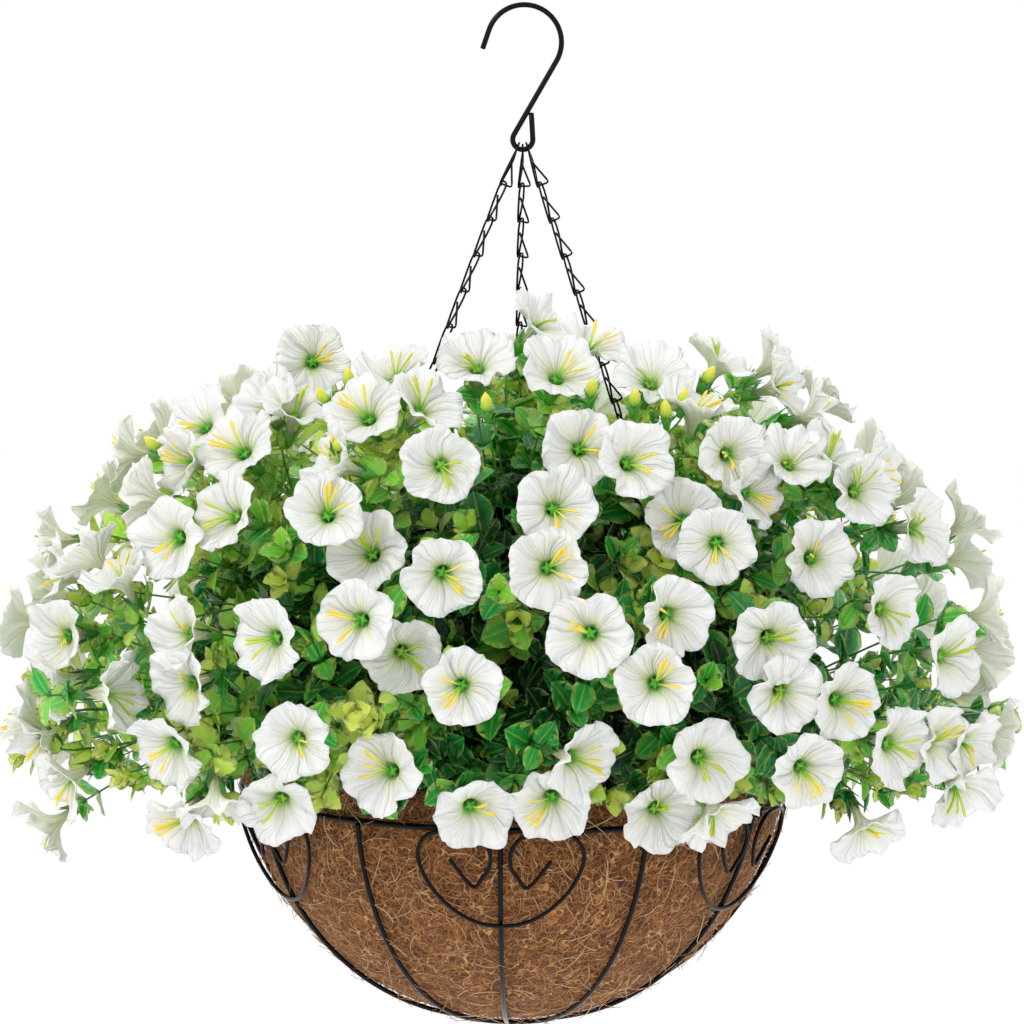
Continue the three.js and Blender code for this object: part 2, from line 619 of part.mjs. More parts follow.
// Leafy stems rise between the sprays, each with opposite pairs of leaves, every pair a quarter turn on.
function addLeafyStems() {
  LEAFY_STEMS.forEach(([azimuth, fall], i) => {
    const name = "leafy_stem_" + String(i + 1).padStart(2, "0");
    const way = outward(azimuth).multiplyScalar(Math.sin(rad(fall))).setZ(Math.cos(rad(fall)));
    const reach = 0.9 / Math.hypot(way.x / DOME.wide, way.y / DOME.deep, way.z / (DOME.up + 40));
    const end = MIDDLE.clone().addScaledVector(way, reach);
    const standing = LEAFY_HOLE.radius + LEAFY_HOLE.perDeg * fall;
    const hole = outward(azimuth + LEAFY_HOLE.turnDeg).multiplyScalar(standing);
    const points = stemPoints(hole, end);
    holes.push({ hole, diameter: STEM.leafy });
    const route = new Route(points);
    const solids = [solid(wire(points, STEM.leafy, 4))];
    for (let pair = 0; pair < LEAF_PAIRS; pair++) {
      const t = LEAF_RUN.from + (LEAF_RUN.length * pair) / (LEAF_PAIRS - 1);
      const foot = route.getPoint(t);
      const along = route.getPoint(Math.min(t + 0.02, 1)).sub(route.getPoint(t - 0.02)).normalize();
      const first = UP.clone().cross(along).normalize().applyAxisAngle(along, (pair * Math.PI) / 2 + i);
      for (const sign of [1, -1]) {
        const side = first.clone().multiplyScalar(sign);
        const reachOut = side.clone().addScaledVector(along, 0.75).normalize();
        const flat = along.clone().cross(reachOut).normalize();
        const blade = leafBlade(foot, reachOut, flat);
        if (clearOf(blade, name)) solids.push(blade);
      }
    }
    addPiece(name, joined(solids), LEAF);
  });
}

// ---------- Fill ----------

// The fill lies inside the liner, with a plain hole for each stem.
function addFill() {
  const radius = LINER_RADIUS - LINER_WALL - GAP;
  const top = RING_Z + FILL_RISE;
  const edge = LINER_WAIST - LINER_WALL - 1.5;
  const flat = [new THREE.Vector2(0, top), new THREE.Vector2(edge, top)];
  const profile = [...flat, ...domeProfile(radius, DOME_FROM_Z, 4)];
  profile.reverse();
  const fill = solid(new THREE.LatheGeometry(profile, LINER_SIDES).rotateX(Math.PI / 2));
  const drills = holes.map(({ hole, diameter }) => {
    const wide = diameter / 2 + HOLE_CLEARANCE;
    const height = STEM_DEPTH + 12;
    const drill = new THREE.CylinderGeometry(wide * HOLE_CORNER, wide * HOLE_CORNER, height, 5);
    drill.rotateX(Math.PI / 2);
    drill.translate(hole.x, hole.y, top - STEM_DEPTH - GAP + height / 2);
    return solid(drill);
  });
  addPiece("fill", fill.subtract(joined(drills)), FILL);
}

addHook();
for (const [name, azimuth] of Object.entries(CHAIN_AZIMUTHS)) addChain(name, azimuth);
addRings();
addRibs();
addScrolls();
addLiner();
addSprays();
addLeafyStems();
addFill();

export default basket;
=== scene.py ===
# A hanging basket of white morning glories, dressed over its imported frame.
# Layout is worked out in millimetres and turned to metres as each mesh is made.
from math import acos, asin, atan2, cos, degrees, exp, hypot, pi, radians, remainder, sin, sqrt

import bpy
import numpy as np
from mathutils import Matrix, Quaternion, Vector, noise


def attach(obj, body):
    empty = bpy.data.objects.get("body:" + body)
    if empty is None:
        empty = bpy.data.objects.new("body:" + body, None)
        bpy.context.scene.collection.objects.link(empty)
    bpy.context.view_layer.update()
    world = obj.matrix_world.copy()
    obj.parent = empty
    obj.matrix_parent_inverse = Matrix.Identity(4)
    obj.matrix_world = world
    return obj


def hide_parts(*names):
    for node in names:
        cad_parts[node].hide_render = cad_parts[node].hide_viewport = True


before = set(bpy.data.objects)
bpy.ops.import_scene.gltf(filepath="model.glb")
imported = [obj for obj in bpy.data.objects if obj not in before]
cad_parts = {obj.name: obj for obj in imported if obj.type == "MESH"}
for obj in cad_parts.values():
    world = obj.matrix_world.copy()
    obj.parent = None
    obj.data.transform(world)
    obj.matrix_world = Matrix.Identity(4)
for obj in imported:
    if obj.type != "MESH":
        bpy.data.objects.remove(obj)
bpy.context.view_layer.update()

MM = 0.001
TAU = 2 * pi

# ---------- Real sizes, as the frame has them ----------

HOOK_WIRE = 3
CROOK_RADIUS = 20.4
EYE_RADIUS = 5.5
HOOK_CENTRES = 53
CROOK_LIP = 10.5
EYE_END = 14
CROOK_STOP_DEG = 162
EYE_STOP_DEG = 364

RING_Z = -430
RING_RADIUS = 150.9
RING_WIRE = 3.2
BOWL_RADIUS = 155.5
BOWL_CENTRE_Z = RING_Z + 25
RIB_WIRE = 2.7
RIB_COUNT = 12
FIRST_RIB_DEG = -2.4
BASE_RING_RADIUS = 30
SCROLL_WIRE = 2.2
SCROLL_COUNT = 6

CHAIN_WIRE = 1.2
CHAIN_LINKS = 18
CHAIN_AZIMUTHS = {"right": 60, "left": -60, "back": 180}
RIM_HOOK_RADIUS = 2.8

LINER_RADIUS = 151.6
LINER_WALL = 8
LINER_RISE = 17.5
LINER_WAIST = 147
FILL_RISE = 5

DOME_Z = RING_Z + 60
DOME = {"wide": 283, "deep": 235, "up": 205, "down": 160}

EYE_POINT = Vector((-2.9, -2175, -97))
SIGHT_TILT_DEG = 4.7
SIGHT_ROLL_DEG = 0.85
SIGHT_LENGTH = 3960
SIGHT_MIDDLE = 512
VIEW_WIDTH = 1024

# Front blooms: across and down the view, turned to the right of the front, tipped up, share of the
# way out from the dome's middle where it isn't 1.
FRONT_BLOOMS = [
    # left side, top to bottom
    (117, 455, -90, 5), (195, 420, -40, 35), (176, 466, -60, 0), (235, 445, -30, 35), (222, 513, -45, 20),
    (166, 541, -35, 0), (137, 498, -105, 5, 1.02), (45, 543, -95, -5), (50, 575, -80, 12),
    (84, 552, -110, 35), (115, 572, -50, 55), (10, 622, -95, 0), (52, 640, -45, 0), (174, 637, -50, 5),
    (178, 690, -45, -10), (122, 695, 75, 5), (45, 690, -70, -15), (16, 716, -100, 30), (30, 750, -60, -30),
    (57, 790, -60, -28), (40, 835, -80, -35), (163, 756, -35, -25), (180, 833, -30, -40),
    (214, 818, 5, -65),
    # upper left and middle
    (311, 362, 0, 8), (262, 402, -30, 40), (296, 402, 25, 62), (392, 368, -20, 55), (363, 410, -20, 38),
    (328, 463, -60, 18), (439, 467, -5, 5), (325, 512, -5, 22), (365, 552, -20, 18, 0.86),
    (442, 579, 0, -8), (354, 624, -20, 0), (402, 658, 3, -5, 0.84), (463, 690, 5, 0), (263, 642, -35, 0),
    (292, 745, -15, -5), (381, 776, -30, 0, 0.9), (276, 812, -15, -28, 0.95), (430, 400, 50, 45),
    # top and right of the middle
    (477, 357, 0, 50), (545, 316, 60, 50), (560, 368, 15, 45), (593, 338, 35, 62), (655, 373, 15, 45),
    (581, 448, 5, 14), (637, 461, 30, 18), (556, 508, 8, 14), (548, 572, 0, 0), (589, 638, -5, 0),
    (676, 620, 25, -5), (656, 688, 0, 0), (584, 765, 45, -8, 0.9), (475, 818, 15, -20, 0.84),
    (550, 810, -5, -25, 0.84), (662, 820, 20, -20, 0.84), (725, 357, 70, 58), (790, 385, 70, 18),
    (826, 416, 85, 12), (782, 360, 90, 35), (697, 402, 30, 70),
    # right side
    (737, 456, 30, 5), (796, 456, 30, 42), (866, 492, 35, 8), (886, 470, 70, 20), (838, 453, 50, 45),
    (717, 547, -3, 0), (684, 521, 0, 12, 0.85), (822, 560, 30, 5, 0.86), (760, 492, 50, 10, 0.9),
    (773, 646, 10, -12), (788, 697, 20, -5), (847, 705, 30, -3), (893, 613, 35, 0),
    (708, 764, 25, -5, 0.92), (810, 775, 25, -10), (902, 750, 40, -5), (722, 828, 45, -50, 0.88),
    (928, 530, 50, 5), (975, 516, 88, 42), (998, 616, 90, 8), (958, 660, 50, 0), (946, 748, 50, -5),
    (1010, 736, 82, -15), (978, 752, 60, -20), (966, 800, 32, -30), (870, 842, 30, -45),
]
BACK_BLOOMS = {"count": 34, "top": 0.86, "span": 1.16, "spread": 76, "tip": 62, "droop": 4}
GOLDEN_DEG = 137.508

# Closed buds, listed like the front blooms.
FRONT_BUDS = [
    (152, 446, -60, 40), (348, 380, -15, 70), (322, 398, -40, 50), (592, 390, 5, 60), (635, 400, 10, 65),
    (666, 412, -10, 60), (684, 400, 20, 60), (709, 377, 45, 50), (486, 405, -10, 60), (338, 446, 20, 30),
]
BUD_OUT = 1.06  # they stand this far past the blooms, as a share
BUD_DEPTH = 7
BUD_SIZE = 0.92
BUD_TINT = 0.48
BUD_CALYX = {"ahead": 10, "size": 0.75}

BLOOM_DEPTH = 28
BLOOM_RADIUS = 22.5
STEM_WIDTH = {"spray": 3, "leafy": 2.6, "stalk": 1.2}
HUB_SHARE = 0.46
HUB_RISE = 40
STEM_DEPTH = 22
# Bands of sprays: fall from straight up in degrees, from and to; sectors; radius of their stems' holes.
BANDS = [(0, 38, 3, 24), (38, 68, 7, 66), (68, 112, 8, 106)]
LEAFY_STEMS = [  # azimuth, fall
    (10, 32), (163, 49), (295, 51), (78, 57), (216, 63), (343, 75), (135, 68), (254, 74), (63, 77),
    (184, 82), (329, 82), (108, 79),
]
MIDDLE_DROP = 40  # the plants' middle is this far below the dome's
MIDDLE = Vector((0, 0, DOME_Z - MIDDLE_DROP))
UP = Vector((0, 0, 1))

# ---------- Camera, floor and light ----------

TILT, ROLL = radians(SIGHT_TILT_DEG), radians(SIGHT_ROLL_DEG)
TOWARDS = Vector((0, cos(TILT), -sin(TILT)))
SIGHT_UP = Vector((0, sin(TILT), cos(TILT)))
RIGHT = Vector((1, 0, 0))
SENSOR = 36
FRAME_FIT = 0.9975  # the whole basket stands inside the frame
FRAME_RISE = 2
FLOOR = {"size": 30, "z": -1.3}  # metres, as are the lamps' places and sizes
LAMPS = [
    ("key", (-1.1, -1.1, 0.9), 0.35, 8),
    ("fill", (1.4, -1.1, 0.1), 1.6, 1.4),
    ("rim", (0.4, 1.5, 0.6), 1.2, 16),
]
LAMP_AIM = Vector((0, 0, -0.36))


def add_object(name, data):
    made = bpy.data.objects.new(name, data)
    bpy.context.collection.objects.link(made)
    return made


def add_camera():
    data = bpy.data.cameras.new("camera")
    data.sensor_width = SENSOR
    data.lens = SENSOR * SIGHT_LENGTH * FRAME_FIT / VIEW_WIDTH
    data.shift_y = -FRAME_RISE / VIEW_WIDTH
    data.clip_end = 20
    camera = add_object("camera", data)
    right = RIGHT * cos(ROLL) + SIGHT_UP * sin(ROLL)
    up = SIGHT_UP * cos(ROLL) - RIGHT * sin(ROLL)
    turn = Matrix((right, up, -TOWARDS)).transposed().to_4x4()
    camera.matrix_world = Matrix.Translation(EYE_POINT * MM) @ turn
    bpy.context.scene.camera = camera


def linear(hex_colour):
    """An sRGB hex colour as linear RGBA."""
    parts = [int(hex_colour[i:i + 2], 16) / 255 for i in (1, 3, 5)]
    return tuple(c / 12.92 if c <= 0.04045 else ((c + 0.055) / 1.055) ** 2.4 for c in parts) + (1,)


def live(sockets, name=None):
    """The socket in use, among those of a node that share a name."""
    return next(one for one in sockets if one.enabled and name in (None, one.name))


def add_node(tree, kind, feeds=None, **settings):
    """Adds a node with its settings. Feeds are values, or other nodes' outputs, for its inputs."""
    node = tree.nodes.new(kind)
    for name, value in settings.items():
        setattr(node, name, value)
    for socket, source in (feeds or {}).items():
        target = live(node.inputs, socket) if isinstance(socket, str) else node.inputs[socket]
        if isinstance(source, bpy.types.NodeSocket):
            tree.links.new(source, target)
        else:
            target.default_value = source
    return node


class Finish:
    """A material with one Principled shader, and the nodes that feed it."""

    def __init__(self, name, base, roughness, **shader):
        self.made = bpy.data.materials.new(name)
        self.made.use_nodes = True
        self.made.diffuse_color = linear(base)
        self.tree = self.made.node_tree
        self.shader = self.tree.nodes["Principled BSDF"].inputs
        self.shader["Base Color"].default_value = linear(base)
        self.shader["Roughness"].default_value = roughness
        for socket, value in shader.items():
            self.shader[socket.replace("_", " ")].default_value = value

    def node(self, kind, feeds=None, **settings):
        return add_node(self.tree, "ShaderNode" + kind, feeds, **settings)

    def link(self, socket, source):
        self.tree.links.new(source, self.shader[socket])

    def place(self):
        return self.node("TexCoord").outputs["Object"]

    def attribute(self, name, out="Fac"):
        return self.node("Attribute", attribute_name=name).outputs[out]

    def maths(self, operation, one, other=0.5):
        return self.node("Math", {0: one, 1: other}, operation=operation).outputs[0]

    def grain(self, mm, detail=3.0, where=None):
        """Noise whose detail is this many millimetres across."""
        feeds = {"Vector": where or self.place(), "Scale": 1 / (mm * MM), "Detail": detail}
        return self.node("TexNoise", {**feeds, "Roughness": 0.55}).outputs["Fac"]

    def spread(self, source, low, high, from_low=0.3, from_high=0.7):
        feeds = {"Value": source, "From Min": from_low, "From Max": from_high, "To Min": low, "To Max": high}
        return self.node("MapRange", feeds).outputs["Result"]

    def mixed(self, share, one, other):
        ends = [linear(end) if isinstance(end, str) else end for end in (one, other)]
        feeds = {"Factor": share, 6: ends[0], 7: ends[1]}
        return self.node("Mix", feeds, data_type="RGBA").outputs[2]

    def speckled(self, tone, mm, most, speck, detail=3.0):
        """A tone with specks of another in it, where the noise is high."""
        return self.mixed(self.spread(self.grain(mm, detail), 0.0, most), tone, speck)

    def ramp(self, source, *stops):
        """A colour ramp from stops of (place, hex colour)."""
        node = self.node("ValToRGB", {"Fac": source})
        band = node.color_ramp
        for element, (place, colour) in zip(band.elements, (stops[0], stops[-1])):
            element.position, element.color = place, linear(colour)
        for place, colour in stops[1:-1]:
            band.elements.new(place).color = linear(colour)
        return node.outputs["Color"]

    def bumped(self, height, depth_mm, strength=1.0):
        feeds = {"Height": height, "Strength": strength, "Distance": depth_mm * MM}
        self.link("Normal", self.node("Bump", feeds).outputs["Normal"])


def add_stage():
    bpy.ops.mesh.primitive_plane_add(size=FLOOR["size"], location=(0, 0, FLOOR["z"]))
    floor = bpy.context.object
    floor.name = "studio_floor"
    floor.data.materials.append(Finish("painted_studio_floor", "#ffffff", 0.9).made)
    world = bpy.data.worlds.new("studio")
    bpy.context.scene.world = world
    world.use_nodes = True
    background = world.node_tree.nodes["Background"]
    background.inputs["Color"].default_value = (1, 1, 1, 1)
    background.inputs["Strength"].default_value = 1.0
    for name, place, size, power in LAMPS:
        lamp = bpy.data.lights.new(name, "AREA")
        lamp.size = size
        lamp.energy = power
        holder = add_object(name, lamp)
        holder.location = place
        holder.rotation_euler = (LAMP_AIM - Vector(place)).to_track_quat("-Z", "Y").to_euler()
    bpy.context.scene.view_settings.view_transform = "Standard"


add_camera()
add_stage()

# ---------- Making meshes ----------

ATTRIBUTES = {"turn": "QUATERNION", "kind": "INT", "spoke": "FLOAT_VECTOR"}  # the others are floats


def smooth(mesh):
    mesh.polygons.foreach_set("use_smooth", [True] * len(mesh.polygons))


def mesh_from(name, points, faces, edges=(), **attributes):
    """A mesh from points in millimetres, with the attributes of its points."""
    mesh = bpy.data.meshes.new(name)
    mesh.from_pydata([tuple(c * MM for c in p) for p in points], edges, faces)
    smooth(mesh)
    for title, values in attributes.items():
        kind = ATTRIBUTES.get(title, "FLOAT")
        made = mesh.attributes.new(title, kind, "POINT")
        field = "vector" if kind == "FLOAT_VECTOR" else "value"
        made.data.foreach_set(field, np.array(values, int if kind == "INT" else float).ravel())
    return mesh


def walls(rows, sides, first=0):
    """Faces between rings of points that lie one after another, each ring closed."""
    faces = []
    for ring in range(first, first + (rows - 1) * sides, sides):
        for i in range(sides):
            a, b = ring + i, ring + (i + 1) % sides
            faces.append((a, b, b + sides, a + sides))
    return faces


def polar(radius, turn, z):
    return radius * cos(turn), radius * sin(turn), z


def new_tree(name, inputs):
    """A Geometry Nodes tree with named inputs."""
    tree = bpy.data.node_groups.new(name, "GeometryNodeTree")
    for title, kind in {"Geometry": "Geometry", **inputs}.items():
        tree.interface.new_socket(title, in_out="INPUT", socket_type="NodeSocket" + kind)
    tree.interface.new_socket("Geometry", in_out="OUTPUT", socket_type="NodeSocketGeometry")
    return tree, add_node(tree, "NodeGroupInput").outputs


def close_tree(tree, geometry, finish):
    """Ends a tree: its copies are made real and get their material."""
    real = add_node(tree, "GeometryNodeRealizeInstances", {"Geometry": geometry})
    dressed = add_node(tree, "GeometryNodeSetMaterial", {"Geometry": real.outputs[0], "Material": finish})
    add_node(tree, "NodeGroupOutput", {"Geometry": dressed.outputs[0]})
    return tree


def named(tree, attribute, kind="FLOAT"):
    node = add_node(tree, "GeometryNodeInputNamedAttribute", {"Name": attribute}, data_type=kind)
    return live(node.outputs, "Attribute")


def copies(tree, given, points, feeds):
    """A template at each point, as the feeds say."""
    shelf = {"Collection": given["Templates"], "Separate Children": True, "Reset Children": True}
    kinds = add_node(tree, "GeometryNodeCollectionInfo", shelf)
    feeds = {"Points": points, "Instance": kinds.outputs[0], "Pick Instance": True, **feeds}
    return add_node(tree, "GeometryNodeInstanceOnPoints", feeds).outputs[0]


def wire_tree():
    """Round wire along each run of edges, as wide as the points' own 'thick' says."""
    tree, given = new_tree("wire_on_path", {"Sides": "Int", "Finish": "Material"})
    path = add_node(tree, "GeometryNodeMeshToCurve", {"Mesh": given["Geometry"]})
    ring = add_node(tree, "GeometryNodeCurvePrimitiveCircle", {"Resolution": given["Sides"], "Radius": 1.0})
    feeds = {"Curve": path.outputs[0], "Profile Curve": ring.outputs["Curve"], "Scale": named(tree, "thick")}
    swept = add_node(tree, "GeometryNodeCurveToMesh", {**feeds, "Fill Caps": True})
    return close_tree(tree, swept.outputs[0], given["Finish"])


def place_tree():
    """A template at each point, turned, sized and chosen by the point's own attributes."""
    tree, given = new_tree("stand_on_points", {"Templates": "Collection", "Finish": "Material"})
    own = {
        "Instance Index": named(tree, "kind", "INT"),
        "Rotation": named(tree, "turn", "QUATERNION"),
        "Scale": named(tree, "size"),
    }
    return close_tree(tree, copies(tree, given, given["Geometry"], own), given["Finish"])


def scatter_tree():
    """Templates scattered over a surface and laid along it, each turned, sized and tinted at random."""
    inputs = {"Templates": "Collection", "Per Square Metre": "Float", "Seed": "Int", "Finish": "Material"}
    tree, given = new_tree("fibres_on_surface", inputs)
    seed = {"Seed": given["Seed"]}

    def drawn(limits, kind="FLOAT"):
        return live(add_node(tree, "FunctionNodeRandomValue", {**limits, **seed}, data_type=kind).outputs)

    surface = {"Mesh": given["Geometry"], "Density": given["Per Square Metre"], **seed}
    spots = add_node(tree, "GeometryNodeDistributePointsOnFaces", surface)
    spin = drawn({"Min": (-0.25, -0.25, 0.0), "Max": (0.25, 0.25, TAU)}, "FLOAT_VECTOR")
    turned = add_node(
        tree,
        "FunctionNodeRotateRotation",
        {"Rotation": spots.outputs["Rotation"], "Rotate By": spin},
        rotation_space="LOCAL",
    )
    own = {"Rotation": turned.outputs[0], "Scale": drawn({"Min": 0.6, "Max": 1.35})}
    laid = copies(tree, given, spots.outputs["Points"], own)
    tinted = add_node(
        tree,
        "GeometryNodeStoreNamedAttribute",
        {"Geometry": laid, "Name": "tint", "Value": drawn({})},
        domain="INSTANCE",
        data_type="FLOAT",
    )
    return close_tree(tree, tinted.outputs[0], given["Finish"])


WIRE = wire_tree()
PLACE = place_tree()
SCATTER = scatter_tree()


def grown_by(tree, name, mesh, inputs):
    """Runs a tree on a mesh and keeps the result as a plain mesh."""
    seed = add_object(name + "_points", mesh)
    modifier = seed.modifiers.new("grow", "NODES")
    modifier.node_group = tree
    for item in tree.interface.items_tree:
        if item.item_type == "SOCKET" and item.in_out == "INPUT" and item.name in inputs:
            modifier[item.identifier] = inputs[item.name]
    graph = bpy.context.evaluated_depsgraph_get()
    made = bpy.data.meshes.new_from_object(seed.evaluated_get(graph), depsgraph=graph)
    bpy.data.objects.remove(seed)
    made.name = name
    return made


def fit_piece(name, meshes, replaces=(), body="basket"):
    """One finished piece from one or more meshes: it rides on its body and hides the parts it replaces."""
    parts = [add_object(name + "_part", mesh) for mesh in meshes]
    piece = parts[0]
    if len(parts) > 1:
        bpy.ops.object.select_all(action="DESELECT")
        for part in parts:
            part.select_set(True)
        bpy.context.view_layer.objects.active = piece
        bpy.ops.object.join()
    piece.name = name
    piece.data.name = name
    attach(piece, body)
    if replaces:
        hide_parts(*replaces)


def templates(name, meshes):
    """A collection of template objects, apart from the scene, in the order given."""
    shelf = bpy.data.collections.new(name)
    for i, mesh in enumerate(meshes):
        shelf.objects.link(bpy.data.objects.new(f"{name}_shape_{i:02d}", mesh))
    return shelf


def wires(name, paths, finish, sides=6):
    """One mesh of round wires. Each path is (points, width or widths), or has True last if closed."""
    points, edges, thick = [], [], []
    for run, widths, *closed in paths:
        first = len(points)
        points += run
        thick += [w / 2 * MM for w in (widths if isinstance(widths, list) else [widths] * len(run))]
        edges += [(first + i, first + i + 1) for i in range(len(run) - 1)]
        if closed:
            edges.append((len(points) - 1, first))
    mesh = mesh_from(name, points, (), edges, thick=thick)
    made = grown_by(WIRE, name, mesh, {"Sides": sides, "Finish": finish})
    smooth(made)
    return made


def smooth_run(points, per_step):
    """A smooth run through all the points."""
    last = len(points) - 1
    run = []
    for i in range(last):
        a, b, c, d = (Vector(points[min(max(i + k, 0), last)]) for k in (-1, 0, 1, 2))
        square, cube = 2 * a - 5 * b + 4 * c - d, 3 * b - a - 3 * c + d
        for k in range(per_step):
            t = k / per_step
            run.append(0.5 * (2 * b + (c - a) * t + square * t * t + cube * t ** 3))
    return run + [Vector(points[-1])]


def bent(start, middle, end, steps):
    """A run that leaves its start towards the middle and then bends over to its end."""
    ways = (i / steps for i in range(steps + 1))
    return [start * (1 - t) ** 2 + middle * 2 * t * (1 - t) + end * t * t for t in ways]


def outward(azimuth):
    """The way out at an azimuth from the front towards +X."""
    return Vector((sin(radians(azimuth)), -cos(radians(azimuth)), 0))


def clamped(value, high=1):
    return min(high, max(0, value))


class Draw:
    """A seeded random draw that is the same on every run."""

    def __init__(self, seed):
        self.state = seed

    def __call__(self, low=0.0, high=1.0):
        self.state = (self.state * 1664525 + 1013904223) % 2 ** 32
        return low + (high - low) * self.state / 2 ** 32


# ---------- Finishes ----------


def wire_paint():
    # Powder coat on drawn steel: near black, an even satin with a fine orange peel.
    paint = Finish("powder_coated_steel_wire", "#070707", 0.3, Specular_IOR_Level=0.16)
    peel = paint.grain(1.6)
    paint.link("Roughness", paint.spread(peel, 0.16, 0.26))
    paint.link("Base Color", paint.speckled("#020202", 9, 1, "#060607"))
    paint.bumped(peel, 0.08, 0.5)
    return paint.made


STRANDS = [  # millimetres between crossings, where in the noise, how thin, colour
    (6.5, 0.3, 0.034, "#8f582b"), (5.5, 1.1, 0.034, "#a86b36"), (7, 2.3, 0.027, "#bd8046"),
    (4.5, 3.7, 0.03, "#ae703a"), (8, 5.1, 0.02, "#d9a267"),
]


def coir_mat():
    # Coconut fibre needled and pressed to a mat: brown, matte, curly strands over hollows.
    # The hollows' shade is painted in as dark specks.
    mat = Finish("pressed_coir_mat", "#6b4428", 0.95)
    tone = mat.ramp(mat.grain(16, 4), (0.3, "#4f2f17"), (0.5, "#7c4b26"), (0.72, "#966033"))
    # Painted shade: dark specks stand for the shade down in the hollows between strands.
    tone = mat.speckled(tone, 1.8, 0.95, "#2c180b", 4)
    height = mat.grain(1.6, 3)
    for mm, seed, thin, colour in STRANDS:
        # A strand runs where the noise crosses its middle value.
        moved = mat.node("Mapping", {"Vector": mat.place(), "Location": (seed, 2.7 * seed, -seed)})
        level = mat.grain(mm, 0.6, moved.outputs["Vector"])
        off = mat.maths("ABSOLUTE", mat.maths("SUBTRACT", level))
        line = mat.spread(off, 1.0, 0.0, thin * 0.3, thin)
        tone = mat.mixed(line, tone, colour)
        height = mat.maths("ADD", height, mat.maths("MULTIPLY", line, 0.35))
    mat.link("Base Color", tone)
    mat.bumped(height, 1.4)
    return mat.made


def coir_fibre():
    # Single coconut fibres: tan to dark brown, dull with a slight shine along each.
    fibre = Finish("combed_coir_fibre", "#a47749", 0.7)
    stops = (0.0, "#7a4a25"), (0.25, "#a26a3b"), (0.6, "#c08a56"), (0.85, "#d4a673"), (1.0, "#e6c69c")
    tone = fibre.ramp(fibre.attribute("tint"), *stops)
    fibre.link("Base Color", fibre.speckled(tone, 30, 0.45, "#6e4526"))
    fibre.bumped(fibre.grain(0.8), 0.1)
    return fibre.made


def fill_foam():
    # Foam under a scatter of dried moss: very dark brown-green, crumbly.
    foam = Finish("moss_on_floral_foam", "#2a2518", 0.95)
    crumbs = foam.grain(3, 5)
    foam.link("Base Color", foam.ramp(crumbs, (0.3, "#14110b"), (0.55, "#2b2718"), (0.75, "#4a4a2a")))
    foam.bumped(crumbs, 2.0)
    return foam.made


def petal_cloth():
    # Heat-set white polyester cloth: matte, pressed in pleats, printed green in the throat.
    # Light passes through the thin cloth.
    cloth = Finish(
        "heat_set_polyester_petal", "#e6e7e4", 0.7, Sheen_Weight=0.1, Subsurface_Weight=0.18,
        Subsurface_Scale=4 * MM, Subsurface_Radius=(1.0, 1.0, 1.0),
    )
    reach = cloth.attribute("reach")
    throat = (0.0, "#4cc034"), (0.13, "#5cc83a"), (0.18, "#98d962"), (0.235, "#d4eaa0")
    inside = cloth.ramp(reach, *throat, (0.33, "#f0f4dc"), (0.5, "#f4f5f4"))
    outside = cloth.ramp(reach, (0.0, "#c9e27c"), (0.14, "#f0f4c4"), (0.3, "#fdfae4"), (0.6, "#fefcf4"))
    colour = cloth.mixed(cloth.attribute("inside"), outside, inside)
    # Pleats run straight out from the throat: the same all along one spoke of the petal.
    spoke = cloth.attribute("spoke", "Vector")
    fine, broad = (
        cloth.node("TexNoise", {"Vector": spoke, "Scale": scale, "Detail": detail}).outputs["Fac"]
        for scale, detail in ((4.0, 3.0), (1.5, 0.0))
    )
    # Painted shade: the valleys between the pleats are greyed.
    pleat_valley_shade = cloth.maths(
        "MULTIPLY", cloth.spread(fine, 0.5, 0.0, 0.33, 0.41), cloth.spread(broad, 1.0, 0.25, 0.36, 0.52)
    )
    near = cloth.spread(reach, 1.0, 0.0, 0.3, 0.85)
    streak = cloth.maths("MULTIPLY", cloth.spread(broad, 0.0, 0.4, 0.52, 0.64), near)
    colour = cloth.mixed(streak, colour, "#e8e6b4")
    cloth.link("Base Color", cloth.mixed(pleat_valley_shade, colour, "#c9ccc8"))
    cloth.bumped(cloth.maths("ADD", broad, fine), 5.0)
    return cloth.made


def stamen_plastic():
    # Moulded polyethylene stamens and buds, dipped: green at the foot, then lime, then golden yellow.
    plastic = Finish("dipped_polyethylene_stamen", "#c9b33a", 0.5)
    stops = (0.0, "#4fb52e"), (0.2, "#6cc23a"), (0.45, "#b9da46"), (0.7, "#f4e45a"), (1.0, "#fcdf58")
    tone = plastic.ramp(plastic.attribute("reach"), *stops)
    # A low tint is the greener run of stamens.
    green = plastic.spread(plastic.attribute("tint"), 0.7, 0.0, 0.15, 0.5)
    plastic.link("Base Color", plastic.mixed(green, tone, "#96cc3c"))
    plastic.bumped(plastic.grain(0.8), 0.1)
    return plastic.made


def stem_plastic():
    # Moulded polyethylene over steel wire: mid green, a low gloss, darker towards the fill as painted shade.
    plastic = Finish("moulded_polyethylene_stem", "#4a7a2c", 0.45)
    height = plastic.node("SeparateXYZ", {0: plastic.place()}).outputs["Z"]
    # Painted shade: the colour is darker low down, deep in the bush near the fill.
    low = plastic.spread(height, 0.0, 1.0, -0.44, -0.24)
    tone = plastic.ramp(low, (0.0, "#163c16"), (0.6, "#27742a"), (1.0, "#4c9e3a"))
    plastic.link("Base Color", plastic.speckled(tone, 6, 0.4, "#6cb040"))
    plastic.bumped(plastic.grain(1.2), 0.12)
    return plastic.made


